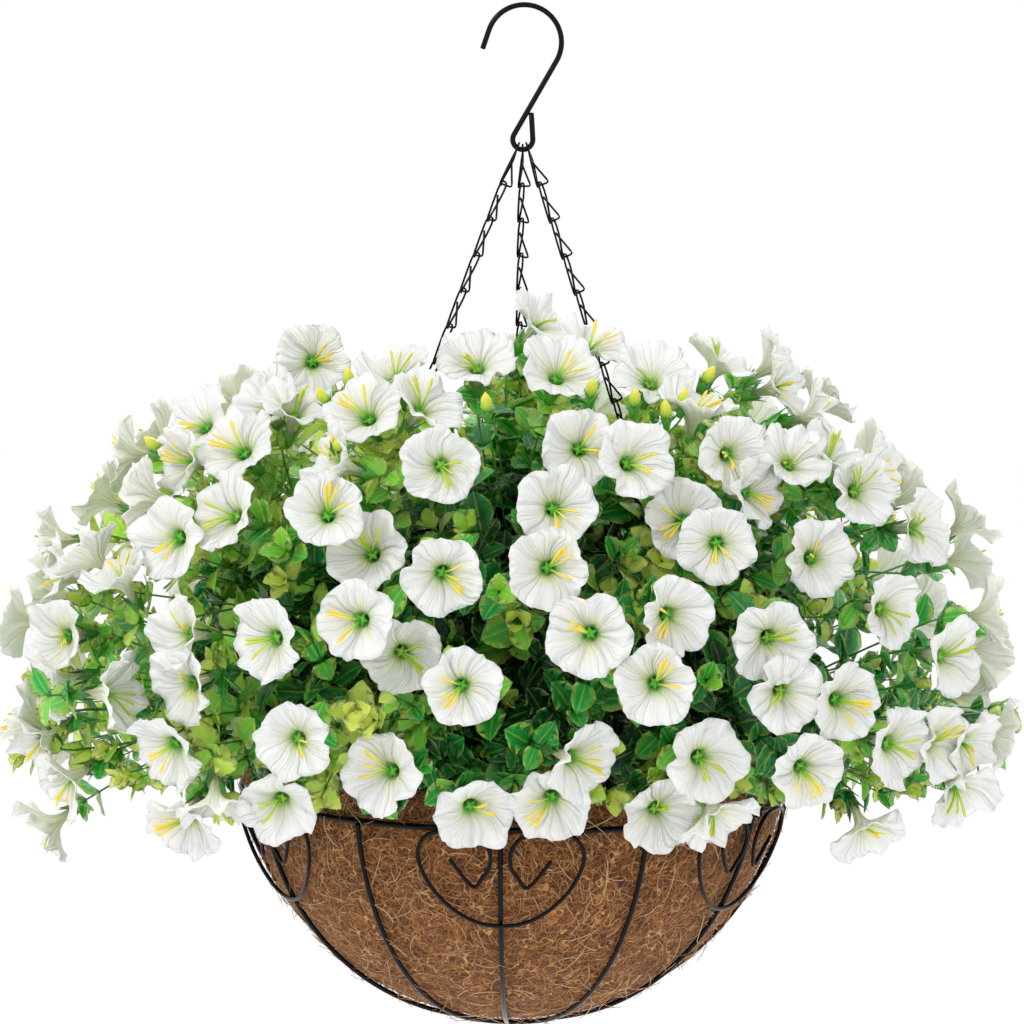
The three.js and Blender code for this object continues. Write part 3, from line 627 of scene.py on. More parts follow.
def leaf_plastic():
    # Moulded polyethylene leaves: waxy, deep green to lime, with a pale midrib and a thin pale edge.
    # The edge is the lime margin and partly a painted highlight.
    # Light passes through the thin blades.
    plastic = Finish(
        "moulded_polyethylene_leaf", "#2c8a28", 0.3, Subsurface_Weight=0.3, Subsurface_Scale=3 * MM,
        Subsurface_Radius=(0.7, 1.0, 0.25),
    )
    across = plastic.maths("ABSOLUTE", plastic.attribute("across"))
    # Yellower towards the edge: the lime margin, partly a painted highlight.
    tint = plastic.maths("ADD", plastic.attribute("tint"), plastic.spread(across, 0.0, 0.3, 0.3, 1.0))
    greens = (0.0, "#012610"), (0.2, "#046a2a"), (0.42, "#1cb040")
    tone = plastic.ramp(tint, *greens, (0.56, "#88e448"), (0.74, "#c4f856"), (1.0, "#eefc70"))
    patchy = plastic.speckled(tone, 7, 0.18, "#1c7a2a")
    pale = plastic.mixed(0.75, patchy, "#d8f66a")
    midrib = plastic.spread(across, 0.4, 0.0, 0.03, 0.1)
    # A pale line along the edge: the lime margin with a painted highlight.
    midrib_and_edge_highlight = plastic.maths("MAXIMUM", midrib, plastic.spread(across, 0.0, 1.0, 0.76, 0.9))
    plastic.link("Base Color", plastic.mixed(midrib_and_edge_highlight, patchy, pale))
    plastic.link("Roughness", plastic.spread(plastic.grain(3), 0.16, 0.3))
    # Veins slant out from the midrib.
    slant = plastic.maths("SUBTRACT", plastic.attribute("along"), across)
    plastic.bumped(plastic.maths("SINE", plastic.maths("MULTIPLY", slant, 44.0)), 0.12, 0.6)
    return plastic.made


WIRE_PAINT = wire_paint()
COIR_MAT = coir_mat()
COIR_FIBRE = coir_fibre()
FILL_FOAM = fill_foam()
PETAL_CLOTH = petal_cloth()
STAMEN_PLASTIC = stamen_plastic()
STEM_PLASTIC = stem_plastic()
LEAF_PLASTIC = leaf_plastic()

# ---------- Hook ----------

CROOK_Z = HOOK_WIRE / 2 - CROOK_RADIUS
EYE_Z = CROOK_Z - HOOK_CENTRES
TUMBLED = {"length": 0.4, "share": 0.6}  # the wire's cut ends are tumbled round


def fit_wires(name, paths, sides, node, body="basket"):
    """A piece of painted wire in place of one plain part."""
    fit_piece(name, [wires(name, paths, WIRE_PAINT, sides)], [node], body)


def arc(centre_z, radius, start_deg, stop_deg, steps):
    turns = [radians(start_deg + (stop_deg - start_deg) * i / steps) for i in range(steps + 1)]
    return [Vector((radius * cos(a), 0, centre_z + radius * sin(a))) for a in turns]


def straight_on(spot, turn_deg, length):
    """The far end of a straight piece that carries on from an arc."""
    turn = radians(turn_deg)
    return spot + Vector((-sin(turn), 0, cos(turn))) * length


def add_hook():
    lean = degrees(asin((CROOK_RADIUS + EYE_RADIUS) / HOOK_CENTRES))
    crook = arc(CROOK_Z, CROOK_RADIUS, CROOK_STOP_DEG, -lean, 40)
    eye = arc(EYE_Z, EYE_RADIUS, 180 - lean, EYE_STOP_DEG, 30)
    lip = straight_on(crook[0], CROOK_STOP_DEG, CROOK_LIP)
    end = straight_on(eye[-1], EYE_STOP_DEG, EYE_END)
    shank = crook[-1].lerp(eye[0], 0.5)
    run = [lip, crook[0].lerp(lip, 0.5), *crook, shank, *eye, eye[-1].lerp(end, 0.5), end]
    cap, over = HOOK_WIRE * TUMBLED["share"], TUMBLED["length"]
    widths = [cap, *[HOOK_WIRE] * len(run), cap]
    first, last = run[0] - run[1], run[-1] - run[-2]
    run = [run[0] + first.normalized() * over, *run, run[-1] + last.normalized() * over]
    fit_wires("hanging_hook", [(run, widths)], 20, "s_hook", "hook")


# ---------- Chains ----------

LINK_TOP = 2.0
LINK_TURN = {"left": 50, "back": 30, "right": 25}
LINK_GRIP = 0.6
SEATS = {"right": (32, 3.2), "left": (-32, 3.2), "back": (0, 2.8)}  # degrees along the eye, bow's radius
RIM_HOOK_STEPS = 20
RIM_HOOK_LEAN = 0.02  # each step of a rim hook stands this far along the ring from the last


def link_run(start, down, side, across, bar, bow):
    """One bent-wire link: free end, slanting leg, bar, leg up, top loop and the long back leg, hooked on."""
    lower = [
        (7.4, -0.6, -0.7), (bar - 2.0, 0, 4.1), (bar - 0.8, 0, 4.3), (bar, 0, 3.6), (bar, 0, -0.8),
        (bar - 0.9, 0.2, -1.5), (8.5, 1.2, 0.2),
    ]
    top = [(0.8, LINK_TOP, 0), (-0.9, 0.9, 0), (-0.9, -0.9, 0), (0.8, -LINK_TOP, 0)]
    if bow:
        turns = [radians(a) for a in (20, 55, 90, 125, 160)]
        top = [(1.4, bow, 0), *((-bow * sin(a), bow * cos(a), 0) for a in turns), (1.4, -bow, 0)]
    back = [
        (5, -LINK_TOP - 0.2, -0.5), (bar - 1.1, -0.6, -2.0), (bar + 0.6, -0.3, -1.8),
        (bar + 0.9, 0.3, -1.0),
    ]
    corners = [start + down * along + side * a + across * b for along, a, b in lower + top + back]
    return smooth_run(corners, 2)


def add_chain(name):
    seat, bow = SEATS[name]
    turn = radians(seat)
    top = Vector((EYE_RADIUS * sin(turn), 0, EYE_Z - EYE_RADIUS * cos(turn)))
    way = outward(CHAIN_AZIMUTHS[name])
    foot = way * RING_RADIUS + UP * RING_Z
    down = (foot - top).normalized()
    side = (Vector((0, 1, 0)) - down * down.y).normalized()
    across = down.cross(side)
    turned = Quaternion(down, radians(LINK_TURN[name]))
    pitch = ((foot - top).length - RIM_HOOK_RADIUS - LINK_GRIP) / CHAIN_LINKS
    paths = []
    for i in range(CHAIN_LINKS):
        ways = (turned @ side, turned @ across) if i else (side, across)
        run = link_run(top + down * i * pitch, down, *ways, pitch + LINK_GRIP, 0 if i else bow)
        paths.append((run, CHAIN_WIRE))
    tangent = UP.cross(way)
    ring = []
    for i in range(RIM_HOOK_STEPS):
        turn = TAU * i / RIM_HOOK_STEPS
        spot = foot + way * RIM_HOOK_RADIUS * cos(turn) + UP * RIM_HOOK_RADIUS * sin(turn)
        ring.append(spot + tangent * RIM_HOOK_LEAN * i)
    paths.append((ring, CHAIN_WIRE, True))
    fit_wires("twisted_chain_" + name, paths, 8, "chain_" + name)


# ---------- Wire bowl ----------

SCROLL_HALF = [
    (0, -53), (14, -51), (27, -44), (38, -32), (43.6, -18), (42.2, -8.5),
    (36.3, -2.6), (25.2, -0.6), (12.3, -2.3), (5.8, -10.4), (5.6, -19.2), (9.3, -25.3), (15.1, -30.6),
    (26.5, -15.9),
]
SCROLL_SEAT = 0.1  # a scroll is pressed this far into the ribs
RIB_STEPS = 30
WELD = 1.12  # welds spread each end of a rib a little where it meets its ring


def on_bowl(radius, azimuth, aside, z):
    level = sqrt(radius * radius - (z - BOWL_CENTRE_Z) ** 2)
    return outward(azimuth + degrees(aside / RING_RADIUS)) * level + UP * z


def fit_ring(name, radius, z, steps, width, sides, node):
    run = [outward(360 * i / steps) * radius + UP * z for i in range(steps)]
    fit_wires(name, [(run, width, True)], sides, node)


def add_bowl():
    centre_line = BOWL_RADIUS - RIB_WIRE / 2
    base_z = BOWL_CENTRE_Z - sqrt(centre_line ** 2 - BASE_RING_RADIUS ** 2)
    fit_ring("rim_wire", RING_RADIUS, RING_Z, 160, RING_WIRE, 14, "rim_ring")
    fit_ring("base_wire", BASE_RING_RADIUS, base_z, 56, RIB_WIRE, 12, "base_ring")
    top_turn = acos((BOWL_CENTRE_Z - RING_Z + RING_WIRE / 2) / centre_line)
    base_turn = asin((BASE_RING_RADIUS + RIB_WIRE / 2) / centre_line)
    turns = [top_turn + (base_turn - top_turn) * k / RIB_STEPS for k in range(RIB_STEPS + 1)]
    widths = [RIB_WIRE * (WELD if k in (0, RIB_STEPS) else 1) for k in range(RIB_STEPS + 1)]
    for i in range(RIB_COUNT):
        way = outward(FIRST_RIB_DEG + 360 * i / RIB_COUNT)
        run = [way * centre_line * sin(a) + UP * (BOWL_CENTRE_Z - centre_line * cos(a)) for a in turns]
        fit_wires(f"rib_wire_{i + 1:02d}", [(run, widths)], 10, f"rib_{i + 1:02d}")
    radius = BOWL_RADIUS - SCROLL_SEAT + SCROLL_WIRE / 2
    for i in range(SCROLL_COUNT):
        azimuth = FIRST_RIB_DEG + 360 * i / SCROLL_COUNT
        left, right = (
            [on_bowl(radius, azimuth, side * aside, RING_Z + drop) for aside, drop in SCROLL_HALF]
            for side in (-1, 1)
        )
        run = smooth_run(left[:0:-1] + right, 5)
        fit_wires(f"scroll_wire_{i + 1}", [(run, SCROLL_WIRE)], 10, f"scroll_{i + 1}")


add_hook()
for chain in CHAIN_AZIMUTHS:
    add_chain(chain)
add_bowl()

# ---------- Coir liner ----------

NOTCH_HALF = 5.5  # half of the dip in the liner's edge at each chain
NOTCH_SLOPE = 3
NOTCH_RISE = 3.5
EDGE_WAVE = 2.6  # how far the torn edge rises and falls
LINER_TURNS = 220
STRAND_STEPS = 5


def lumps(spot, mm):
    """Smooth unevenness, -1 to 1, with lumps this far across."""
    return noise.noise(spot / mm)


def edge_rise(azimuth):
    """Height of the liner's torn edge above the rim at an azimuth."""
    spot = outward(azimuth) * 150
    rise = LINER_RISE - 1.5 + EDGE_WAVE * lumps(spot, 22)
    rise += 1.2 * lumps(spot, 5)
    for chain in CHAIN_AZIMUTHS.values():
        off = abs((azimuth - chain + 180) % 360 - 180) * radians(1) * LINER_WAIST
        dip = clamped((off - NOTCH_HALF) / NOTCH_SLOPE)
        rise = NOTCH_RISE + (rise - NOTCH_RISE) * dip
    return min(rise, LINER_RISE)


def sheet(columns, rows, closed=False):
    """Faces between columns of points that lie one after another."""
    faces = []
    for i in range(columns if closed else columns - 1):
        a, b = i * rows, (i + 1) % columns * rows
        faces += [(a + k, b + k, b + k + 1, a + k + 1) for k in range(rows - 1)]
    return faces


def liner_column(rise):
    """Radius, height and roughness up the cup's outer wall, over its torn edge and down inside."""
    foot_turn, waist_turn = 0.02, acos((BOWL_CENTRE_Z - (RING_Z - 14)) / LINER_RADIUS)
    falls = [foot_turn + (waist_turn - foot_turn) * k / 25 for k in range(26)]
    column = [(LINER_RADIUS * sin(a), BOWL_CENTRE_Z - LINER_RADIUS * cos(a), 1.0) for a in falls]
    column += [(LINER_WAIST, RING_Z + z, 0.35) for z in (-10, -6, -3, 0, 3)]
    column += [(LINER_WAIST + share, RING_Z + 3 + (rise - 3) * share, 0.8) for share in (0.5, 1.0)]
    for share in (0.25, 0.75):
        column.append((LINER_WAIST + 1 - (LINER_WALL - 1) * share, RING_Z + rise + 0.4, 0.5))
    column.append((LINER_WAIST - LINER_WALL + 1, RING_Z + rise, 0.5))
    inner = sqrt((LINER_RADIUS - LINER_WALL) ** 2 - 31 ** 2)
    return column + [(inner, RING_Z + min(z, rise), 0.0) for z in (4, -2, -8)]


def liner_mesh():
    """The pressed cup, closed at its foot and by a disc hidden in the fill."""
    points = []
    for i in range(LINER_TURNS):
        azimuth = 360 * i / LINER_TURNS
        way = outward(azimuth)
        column = liner_column(edge_rise(azimuth))
        for radius, z, rough in column:
            spot = way * radius + UP * z
            bulge = rough * (0.7 * lumps(spot, 11) + 0.45 * lumps(spot, 4))
            points.append(way * (radius + bulge - 0.2) + UP * z)
    count = len(column)
    faces = sheet(LINER_TURNS, count, True)
    foot, top = len(points), len(points) + 1
    points += [Vector((0, 0, BOWL_CENTRE_Z - LINER_RADIUS)), Vector((0, 0, RING_Z - 10))]
    for i in range(LINER_TURNS):
        a, b = i * count, (i + 1) % LINER_TURNS * count
        faces += [(foot, b, a), (top, a + count - 1, b + count - 1)]
    mesh = mesh_from("coir_liner_mat", points, faces)
    mesh.materials.append(COIR_MAT)
    return mesh


def fibre_shapes(count, seed, length, curl, radius):
    """Curly strands that start on a surface and lie along it."""
    draw = Draw(seed)
    made = []
    for i in range(count):
        way, climb = 0.0, draw(0.1, 0.5)
        bend = draw(-curl, curl)
        spot = Vector((0, 0, -0.2))
        run = [spot]
        for _ in range(STRAND_STEPS):
            spot = spot + Vector((cos(way), sin(way), climb)).normalized() * length / STRAND_STEPS
            way += bend + draw(-0.35, 0.35) * curl
            climb -= draw(0.05, 0.28)
            run.append(Vector((spot.x, spot.y, max(spot.z, 0.15))))
        points = []
        for k, spot in enumerate(run):
            ahead = (run[min(k + 1, STRAND_STEPS)] - run[max(k - 1, 0)]).normalized()
            side = ahead.cross(UP).normalized()
            over = side.cross(ahead)
            wide = radius * (1 - 0.5 * k / STRAND_STEPS)
            points += [spot + (side * cos(a) + over * sin(a)) * wide for a in (0, TAU / 3, 2 * TAU / 3)]
        end = 3 * STRAND_STEPS
        faces = walls(STRAND_STEPS + 1, 3) + [(2, 1, 0), (end, end + 1, end + 2)]
        made.append(mesh_from(f"fibre_{i}", points, faces))
    return made


def surface_patch(name, spot_at, from_deg, to_deg, steps_round, steps_up):
    """Part of the liner's surface that fibres stand on. `spot_at` gives its radius and height."""
    points = []
    for i in range(steps_round + 1):
        azimuth = from_deg + (to_deg - from_deg) * i / steps_round
        for k in range(steps_up + 1):
            radius, z = spot_at(azimuth, k / steps_up)
            points.append(outward(azimuth) * radius + UP * z)
    return mesh_from(name, points, sheet(steps_round + 1, steps_up + 1))


def wall_at(_, share):
    """On the outside of the cup, from its foot (0) to its edge (1)."""
    turn = 0.08 + 1.42 * share
    return LINER_RADIUS * sin(turn) - 0.4, BOWL_CENTRE_Z - LINER_RADIUS * cos(turn)


def edge_at(azimuth, share):
    return LINER_WAIST + 0.6, RING_Z - 4 + (edge_rise(azimuth) + 4) * share


def lip_at(azimuth, share):
    return LINER_WAIST + 0.8 - (LINER_WALL - 1) * share, RING_Z + edge_rise(azimuth)


def add_liner():
    fit_piece("coir_liner", [liner_mesh()], ["coir_liner"])
    long_shelf = templates("long_fibres", fibre_shapes(8, 11, 17, 0.42, 0.27))
    short_shelf = templates("short_fibres", fibre_shapes(6, 23, 11, 0.7, 0.24))
    for side, shelf, density, seed, patch in [
        ("front", long_shelf, 31000, 5, (wall_at, -95, 95, 60, 30)),
        ("back", long_shelf, 24000, 9, (wall_at, 95, 265, 60, 30)),
        ("edge", short_shelf, 66000, 3, (edge_at, 0, 360, 160, 4)),
        ("lip", short_shelf, 90000, 7, (lip_at, 0, 360, 160, 2)),
    ]:
        name = "coir_fibres_" + side
        inputs = {"Templates": shelf, "Per Square Metre": float(density), "Seed": seed, "Finish": COIR_FIBRE}
        fit_piece(name, [grown_by(SCATTER, name, surface_patch(side, *patch), inputs)])


add_liner()

# ---------- Where the plants grow ----------

SIGHT_STEPS = 8  # enough for a line of sight to settle on the dome


def sighted(across, down, out=1):
    """Where a line of sight meets the front of the dome, shrunk towards the middle by `out`."""
    u = (across - SIGHT_MIDDLE) / SIGHT_LENGTH
    v = (SIGHT_MIDDLE - down) / SIGHT_LENGTH
    line = TOWARDS + RIGHT * (u * cos(ROLL) - v * sin(ROLL))
    line = line + SIGHT_UP * (u * sin(ROLL) + v * cos(ROLL))
    depth = -DOME["deep"]
    for _ in range(SIGHT_STEPS):
        place = EYE_POINT + line * ((depth - EYE_POINT.y) / line.y)
        height = place.z - DOME_Z
        share = (place.x / DOME["wide"]) ** 2 + (height / (DOME["up"] if height > 0 else DOME["down"])) ** 2
        depth = -DOME["deep"] * out * sqrt(max(0, 1 - share))
    return place


def facing(turn_deg, tip_deg):
    return outward(turn_deg) * cos(radians(tip_deg)) + UP * sin(radians(tip_deg))


def all_blooms():
    """The place and facing of every bloom."""
    blooms = []
    for across, down, turn, tip, *out in FRONT_BLOOMS:
        blooms.append((sighted(across, down, *out), facing(turn, tip)))
    for i in range(BACK_BLOOMS["count"]):
        rise = BACK_BLOOMS["top"] - BACK_BLOOMS["span"] * (i + 0.5) / BACK_BLOOMS["count"]
        turn = 180 + BACK_BLOOMS["spread"] * sin(radians(GOLDEN_DEG * i))
        level = sqrt(1 - rise * rise)
        way = outward(turn)
        height = rise * (DOME["up"] if rise > 0 else DOME["down"])
        place = Vector((way.x * level * DOME["wide"], way.y * level * DOME["deep"], DOME_Z + height))
        blooms.append((place, facing(turn, BACK_BLOOMS["tip"] * rise - BACK_BLOOMS["droop"])))
    return blooms


def cell_of(place):
    """The band and sector of the spray that a place belongs to, and the sector's azimuth."""
    way = (place - MIDDLE).normalized()
    fall = degrees(acos(way.z))
    azimuth = degrees(atan2(way.x, -way.y))
    band = max(i for i, (start, *_) in enumerate(BANDS) if fall >= start)
    sectors = BANDS[band][2]
    width = 360 / sectors
    sector = int((azimuth / width + 0.5) // 1) % sectors
    return band, sector, sector * width


def by_cell(plants):
    """Sorts (place, facing) pairs by the cell that each belongs to."""
    cells = {}
    for place, face in plants:
        cells.setdefault(cell_of(place), []).append((place, face))
    return cells


def stem_run(hole, end):
    """A stem from the fill: up out of its hole, then over to its end."""
    top = RING_Z + FILL_RISE
    start, low, foot = (Vector((hole.x, hole.y, top + z)) for z in (4, -6, 1 - STEM_DEPTH))
    rise = Vector((hole.x, hole.y, max(top + 14, (end.z + top) / 2)))
    return [foot, low, *bent(start, rise, end, 8)]


BLOOMS = all_blooms()
BLOOM_PLACES, BLOOM_FACES = (np.array([tuple(bloom[part]) for bloom in BLOOMS]) for part in (0, 1))
CUP = {"behind": -11, "ahead": 24, "inside_edge": 3}


def crosses_bloom(spot, room=BLOOM_RADIUS - CUP["inside_edge"]):
    """Whether a spot lies in a bloom's cup or stands in front of it."""
    off = np.array(tuple(spot)) - BLOOM_PLACES
    along = (off * BLOOM_FACES).sum(1)
    aside = np.sqrt(np.maximum((off ** 2).sum(1) - along ** 2, 0))
    return bool(((aside < room) & (along > CUP["behind"]) & (along < CUP["ahead"])).any())


def dome_reach(way):
    """How far the dome's surface is from the middle of the basket, this way."""
    tall = DOME["up"] + MIDDLE_DROP if way.z > 0 else DOME["down"] - MIDDLE_DROP
    return 1 / sqrt((way.x / DOME["wide"]) ** 2 + (way.y / DOME["deep"]) ** 2 + (way.z / tall) ** 2)


# ---------- Blooms ----------

TRUMPET = [  # distance forward of the rim, radius
    (-26.5, 1.2), (-21.5, 2.0), (-16.0, 2.5), (-12.0, 3.5), (-9.0, 5.4), (-6.4, 9.0), (-3.8, 13.6),
    (-1.6, 18.2), (0.2, 22.4),
]
LOBES = 5
TRUMPET_SIDES = 56
CLOTH = 0.35
NOTCH = {"deep": 0.9, "thin": 0.07}
PINCH_THIN = 0.16
GRAIN_STEP = 0.37  # each bloom's pleats are this far on in the noise for a step of its seed
FILAMENT = [(0, 0.5), (0.3, 0.5), (0.55, 0.55), (0.76, 0.72), (0.92, 0.85), (1, 0.4)]  # share, radius
FILAMENT_FOOT = -10
STAR_SIDES = 10
CALYX = [(-29.5, 0.75), (-28.6, 1.9), (-26.4, 2.6), (-23.5, 3.4), (-20.5, 4.1)]  # height, radius
CALYX_SIDES = 10
BUD = [(-5.5, 1.2), (-4.0, 2.8), (-1.2, 3.7), (1.8, 3.3), (4.6, 2.0), (7.0, 0.5)]  # height, radius
BUD_SIDES = 10


def ridge(off, thin):
    """A rounded ridge round a petal, 1 on its line, that falls off over `thin` radians."""
    off = remainder(off, TAU) / thin
    return exp(-off * off)


def trumpet_mesh(seed):
    """One cloth trumpet: creased from the throat out, its edge ruffled, frayed and pinched in a fold."""
    draw = Draw(seed)
    spin, ruffle = draw(0, TAU), draw(2.6, 4.8)
    waves = [(n, draw(0, TAU), draw(0.4, 1.0)) for n in (3, 5, 8)]
    frill = draw(0, TAU), draw(0.7, 1.6)
    creases = [(draw(0, TAU), draw(0.08, 0.19), draw(-2.7, 2.7)) for _ in range(12)]
    pinches = [(draw(0, TAU), draw(1.5, 4.5)) for _ in range(1 + int(draw(0, 3)))]
    folded = draw(0, TAU), draw(-2.5, 6.5) if draw() < 0.5 else draw(-1, 1.5)
    slant = draw(0, TAU), draw(0.0, 2.2)
    notches = [draw(0, TAU) for _ in range(6)]
    swirl = draw(-0.5, 0.5)
    fray = [draw(-0.6, 0.35) for _ in range(TRUMPET_SIDES)]
    outer, reach, spokes = [], [], []
    for z, radius in TRUMPET:
        share = radius / BLOOM_RADIUS
        open_share = max(0, (share - 0.2) / 0.8)
        for i in range(TRUMPET_SIDES):
            a = TAU * i / TRUMPET_SIDES
            lobe = cos(LOBES * (a - spin))
            wave = sum(depth * sin(n * a + phase) for n, phase, depth in waves) / 2
            lift = ruffle * wave * open_share ** 2 + 0.35 * sin(10 * a + spin) * open_share
            for where, thin, depth in creases:
                crease = ridge(a - where - 0.6 * swirl * share, thin * (0.6 + share))
                lift += depth * crease * min(1, open_share * 1.8)
            lift += frill[1] * sin(13 * a + frill[0]) * max(0, share - 0.6) / 0.4
            lift += slant[1] * cos(a - slant[0]) * open_share
            lift += folded[1] * cos(a - folded[0]) ** 2 * open_share ** 1.5
            wide = radius * (1 + 0.045 * lobe * open_share - 0.05 * open_share)
            wide *= 1 - 0.012 * abs(folded[1]) * cos(a - folded[0]) ** 2 * open_share
            if share > 0.9:
                wide -= sum(NOTCH["deep"] * ridge(a - where, NOTCH["thin"]) for where in notches)
            for where, depth in pinches:
                pull = ridge(a - where, PINCH_THIN) * open_share
                lift += depth * pull
                wide *= 1 - 0.09 * pull
            if share > 0.95:
                wide += fray[i]
            outer.append(polar(min(wide, BLOOM_RADIUS + 0.6), a, z + lift))
            reach.append(share * (1 - 0.2 * lobe * max(0, 1 - share * 1.6)))
            bend = swirl * share + 0.1 * sin(7 * share + spin)
            spokes.append(polar(1, a + bend + 0.07 * sin(3 * a + 6 * share), GRAIN_STEP * seed))
    rings, sides = len(TRUMPET), TRUMPET_SIDES
    centre = np.array(outer).reshape(rings, sides, 3)
    along = np.gradient(centre, axis=0)
    normal = np.cross(np.roll(centre, -1, 1) - np.roll(centre, 1, 1), along)
    normal /= np.linalg.norm(normal, axis=2, keepdims=True)
    inner = centre - normal * CLOTH
    base = rings * sides
    points = [*centre.reshape(-1, 3), *inner.reshape(-1, 3)]
    points += [(0, 0, TRUMPET[0][0] - 0.3), (0, 0, TRUMPET[0][0] + 0.6)]
    faces = []
    for face in walls(rings, sides):
        faces += [face, tuple(base + corner for corner in reversed(face))]
    around = [(i, (i + 1) % sides) for i in range(sides)]
    last = (rings - 1) * sides
    faces += [(last + a, last + b, base + last + b, base + last + a) for a, b in around]
    for a, b in around:
        faces += [(2 * base, b, a), (2 * base + 1, base + a, base + b)]
    inside = [0] * base + [1] * base + [0, 1]
    spokes = spokes * 2 + [(0, 0, GRAIN_STEP * seed)] * 2
    return mesh_from("trumpet", points, faces, reach=reach * 2 + [0, 0], inside=inside, spoke=spokes)


def stamens_mesh(seed):
    """Four to six filaments out of the throat, each with a thicker tip."""
    draw = Draw(seed)
    points, faces, reach = [], [], []
    towards = draw(0, TAU)
    for _ in range(4 + int(draw(0, 3))):
        a = towards + draw(-0.8, 0.8)
        lean = draw(5.5, 14.5)
        top = draw(0.0, 5.0)
        first = len(points)
        for share, wide in FILAMENT:
            spot = Vector(polar(0.5 + lean * share ** 1.6, a, FILAMENT_FOOT + (top - FILAMENT_FOOT) * share))
            ways = [TAU * j / 4 for j in range(4)]
            points += [(spot.x + wide * cos(b), spot.y + wide * sin(b), spot.z) for b in ways]
            reach += [share] * 4
        end = len(points) - 4
        faces += walls(len(FILAMENT), 4, first)
        faces += [(first + 3, first + 2, first + 1, first), (end, end + 1, end + 2, end + 3)]
    # The moulded star that plugs the throat and holds the filaments.
    first = len(points)
    for i in range(STAR_SIDES):
        wide, z, share = (1.9, -9.9, 0) if i % 2 else (4.2, -9.2, 0.12)
        points.append(polar(wide, TAU * i / STAR_SIDES, z))
        reach.append(share)
    points += [(0, 0, -9.4), (0, 0, -12)]
    reach += [0.1, 0]
    for i in range(STAR_SIDES):
        a, b = first + i, first + (i + 1) % STAR_SIDES
        faces += [(a, b, first + STAR_SIDES), (b, a, first + STAR_SIDES + 1)]
    return mesh_from("stamens", points, faces, reach=reach)


def calyx_mesh():
    """A green cup under the trumpet with five pointed sepals."""
    sides = CALYX_SIDES
    points = []
    for z, radius in CALYX:
        for i in range(sides):
            # The cup's edge dips between the sepals.
            narrow, dip = (0.86, 1.2) if i % 2 and z > -24 else (1, 0)
            points.append(polar(radius * narrow, TAU * i / sides, z - dip))
    faces = walls(len(CALYX), sides)
    top = (len(CALYX) - 1) * sides
    for i in range(0, sides, 2):
        a = TAU * i / sides
        tip = len(points)
        left, right = top + (i - 1) % sides, top + (i + 1) % sides
        points += [polar(6.6, a, -14.5), polar(3.2, a, -20.5), (0, 0, -22)]
        faces += [(left, top + i, tip), (top + i, right, tip), (tip + 1, left, tip), (right, tip + 1, tip)]
        faces += [(left, tip + 1, tip + 2), (tip + 1, right, tip + 2)]
    points.append((0, 0, -29.8))
    faces += [(len(points) - 1, (i + 1) % sides, i) for i in range(sides)]
    return mesh_from("calyx", points, faces)


def bud_mesh():
    """A closed bud, its petals rolled to a point."""
    points, reach = [], []
    for k, (z, radius) in enumerate(BUD):
        for i in range(BUD_SIDES):
            points.append(polar(radius * (1 if i % 2 else 0.84), TAU * (i + 0.5 * k) / BUD_SIDES, z))
            reach.append(0.25 + 0.5 * k / (len(BUD) - 1))
    top = len(points) - BUD_SIDES
    ends = [tuple(reversed(range(BUD_SIDES))), tuple(range(top, top + BUD_SIDES))]
    return mesh_from("bud", points, walls(len(BUD), BUD_SIDES) + ends, reach=reach)


# ---------- Leaves ----------

LEAF_ROWS = [(0.16, 0.7), (0.42, 1.0), (0.68, 0.84), (0.88, 0.42)]
LEAF_LANES = (-1, -0.5, 0, 0.5, 1)
LEAF_LENGTH = 18.5
LEAF_HALF = 7.7
LEAF_THICK = 0.6
KINDS = {"trumpets": 10, "stamens": 6, "leaves": 6}


def leaf_mesh(seed):
    """A pointed leaf, cupped along its midrib and curled at its tip, closed round a thin blade."""
    draw = Draw(seed)
    cup, curl, twist = draw(0.8, 2.8), draw(-4.2, 2.2), draw(-0.3, 0.3)
    slim = draw(0.85, 1.12)
    points, across, along = [(0, 0, 0)], [0], [0]
    for t, wide in LEAF_ROWS:
        for lane in LEAF_LANES:
            y = lane * wide * LEAF_HALF * slim
            z = cup * lane * lane * wide + curl * t * t + 0.9 * sin(pi * t)
            z += y * twist * t + 0.25 * sin(9 * t + 2 * lane)
            points.append((LEAF_LENGTH * t, y, z))
        x, y, z = points[-3]
        points.append((x, y, z - LEAF_THICK))
        across += [*LEAF_LANES, 0]
        along += [t] * (len(LEAF_LANES) + 1)
    tip = len(points)
    points.append((LEAF_LENGTH, 0, curl))
    across.append(0)
    along.append(1)
    step = len(LEAF_LANES) + 1
    last = tip - step
    faces = []
    for j in range(4):
        faces += [(0, 2 + j, 1 + j), (last + j, last + 1 + j, tip)]
    faces += [(0, 1, 6), (0, 6, 5), (last + 5, last, tip), (last + 4, last + 5, tip)]
    for a in range(1, last, step):
        for j, k in ((0, 1), (1, 2), (2, 3), (3, 4), (5, 0), (4, 5)):
            faces.append((a + j, a + k, a + k + step, a + j + step))
    return mesh_from("leaf", points, faces, across=across, along=along)


TRUMPETS = templates("trumpets", [trumpet_mesh(100 + 7 * i) for i in range(KINDS["trumpets"])])
STAMENS = templates("stamens", [stamens_mesh(300 + 11 * i) for i in range(KINDS["stamens"])])
CALYXES = templates("calyxes", [calyx_mesh()])
BUDS = templates("buds", [bud_mesh()])
LEAVES = templates("leaves", [leaf_mesh(500 + 13 * i) for i in range(KINDS["leaves"])])


def planted(name, spots, shelf, finish):
    """Copies of a shelf's templates at spots: (place, turn, size, kind, tint)."""
    places, turns, sizes, kinds, tints = zip(*spots)
    turns = [tuple(turn) for turn in turns]
    mesh = mesh_from(name, places, (), turn=turns, size=sizes, kind=kinds, tint=tints)
    return grown_by(PLACE, name, mesh, {"Templates": shelf, "Finish": finish})


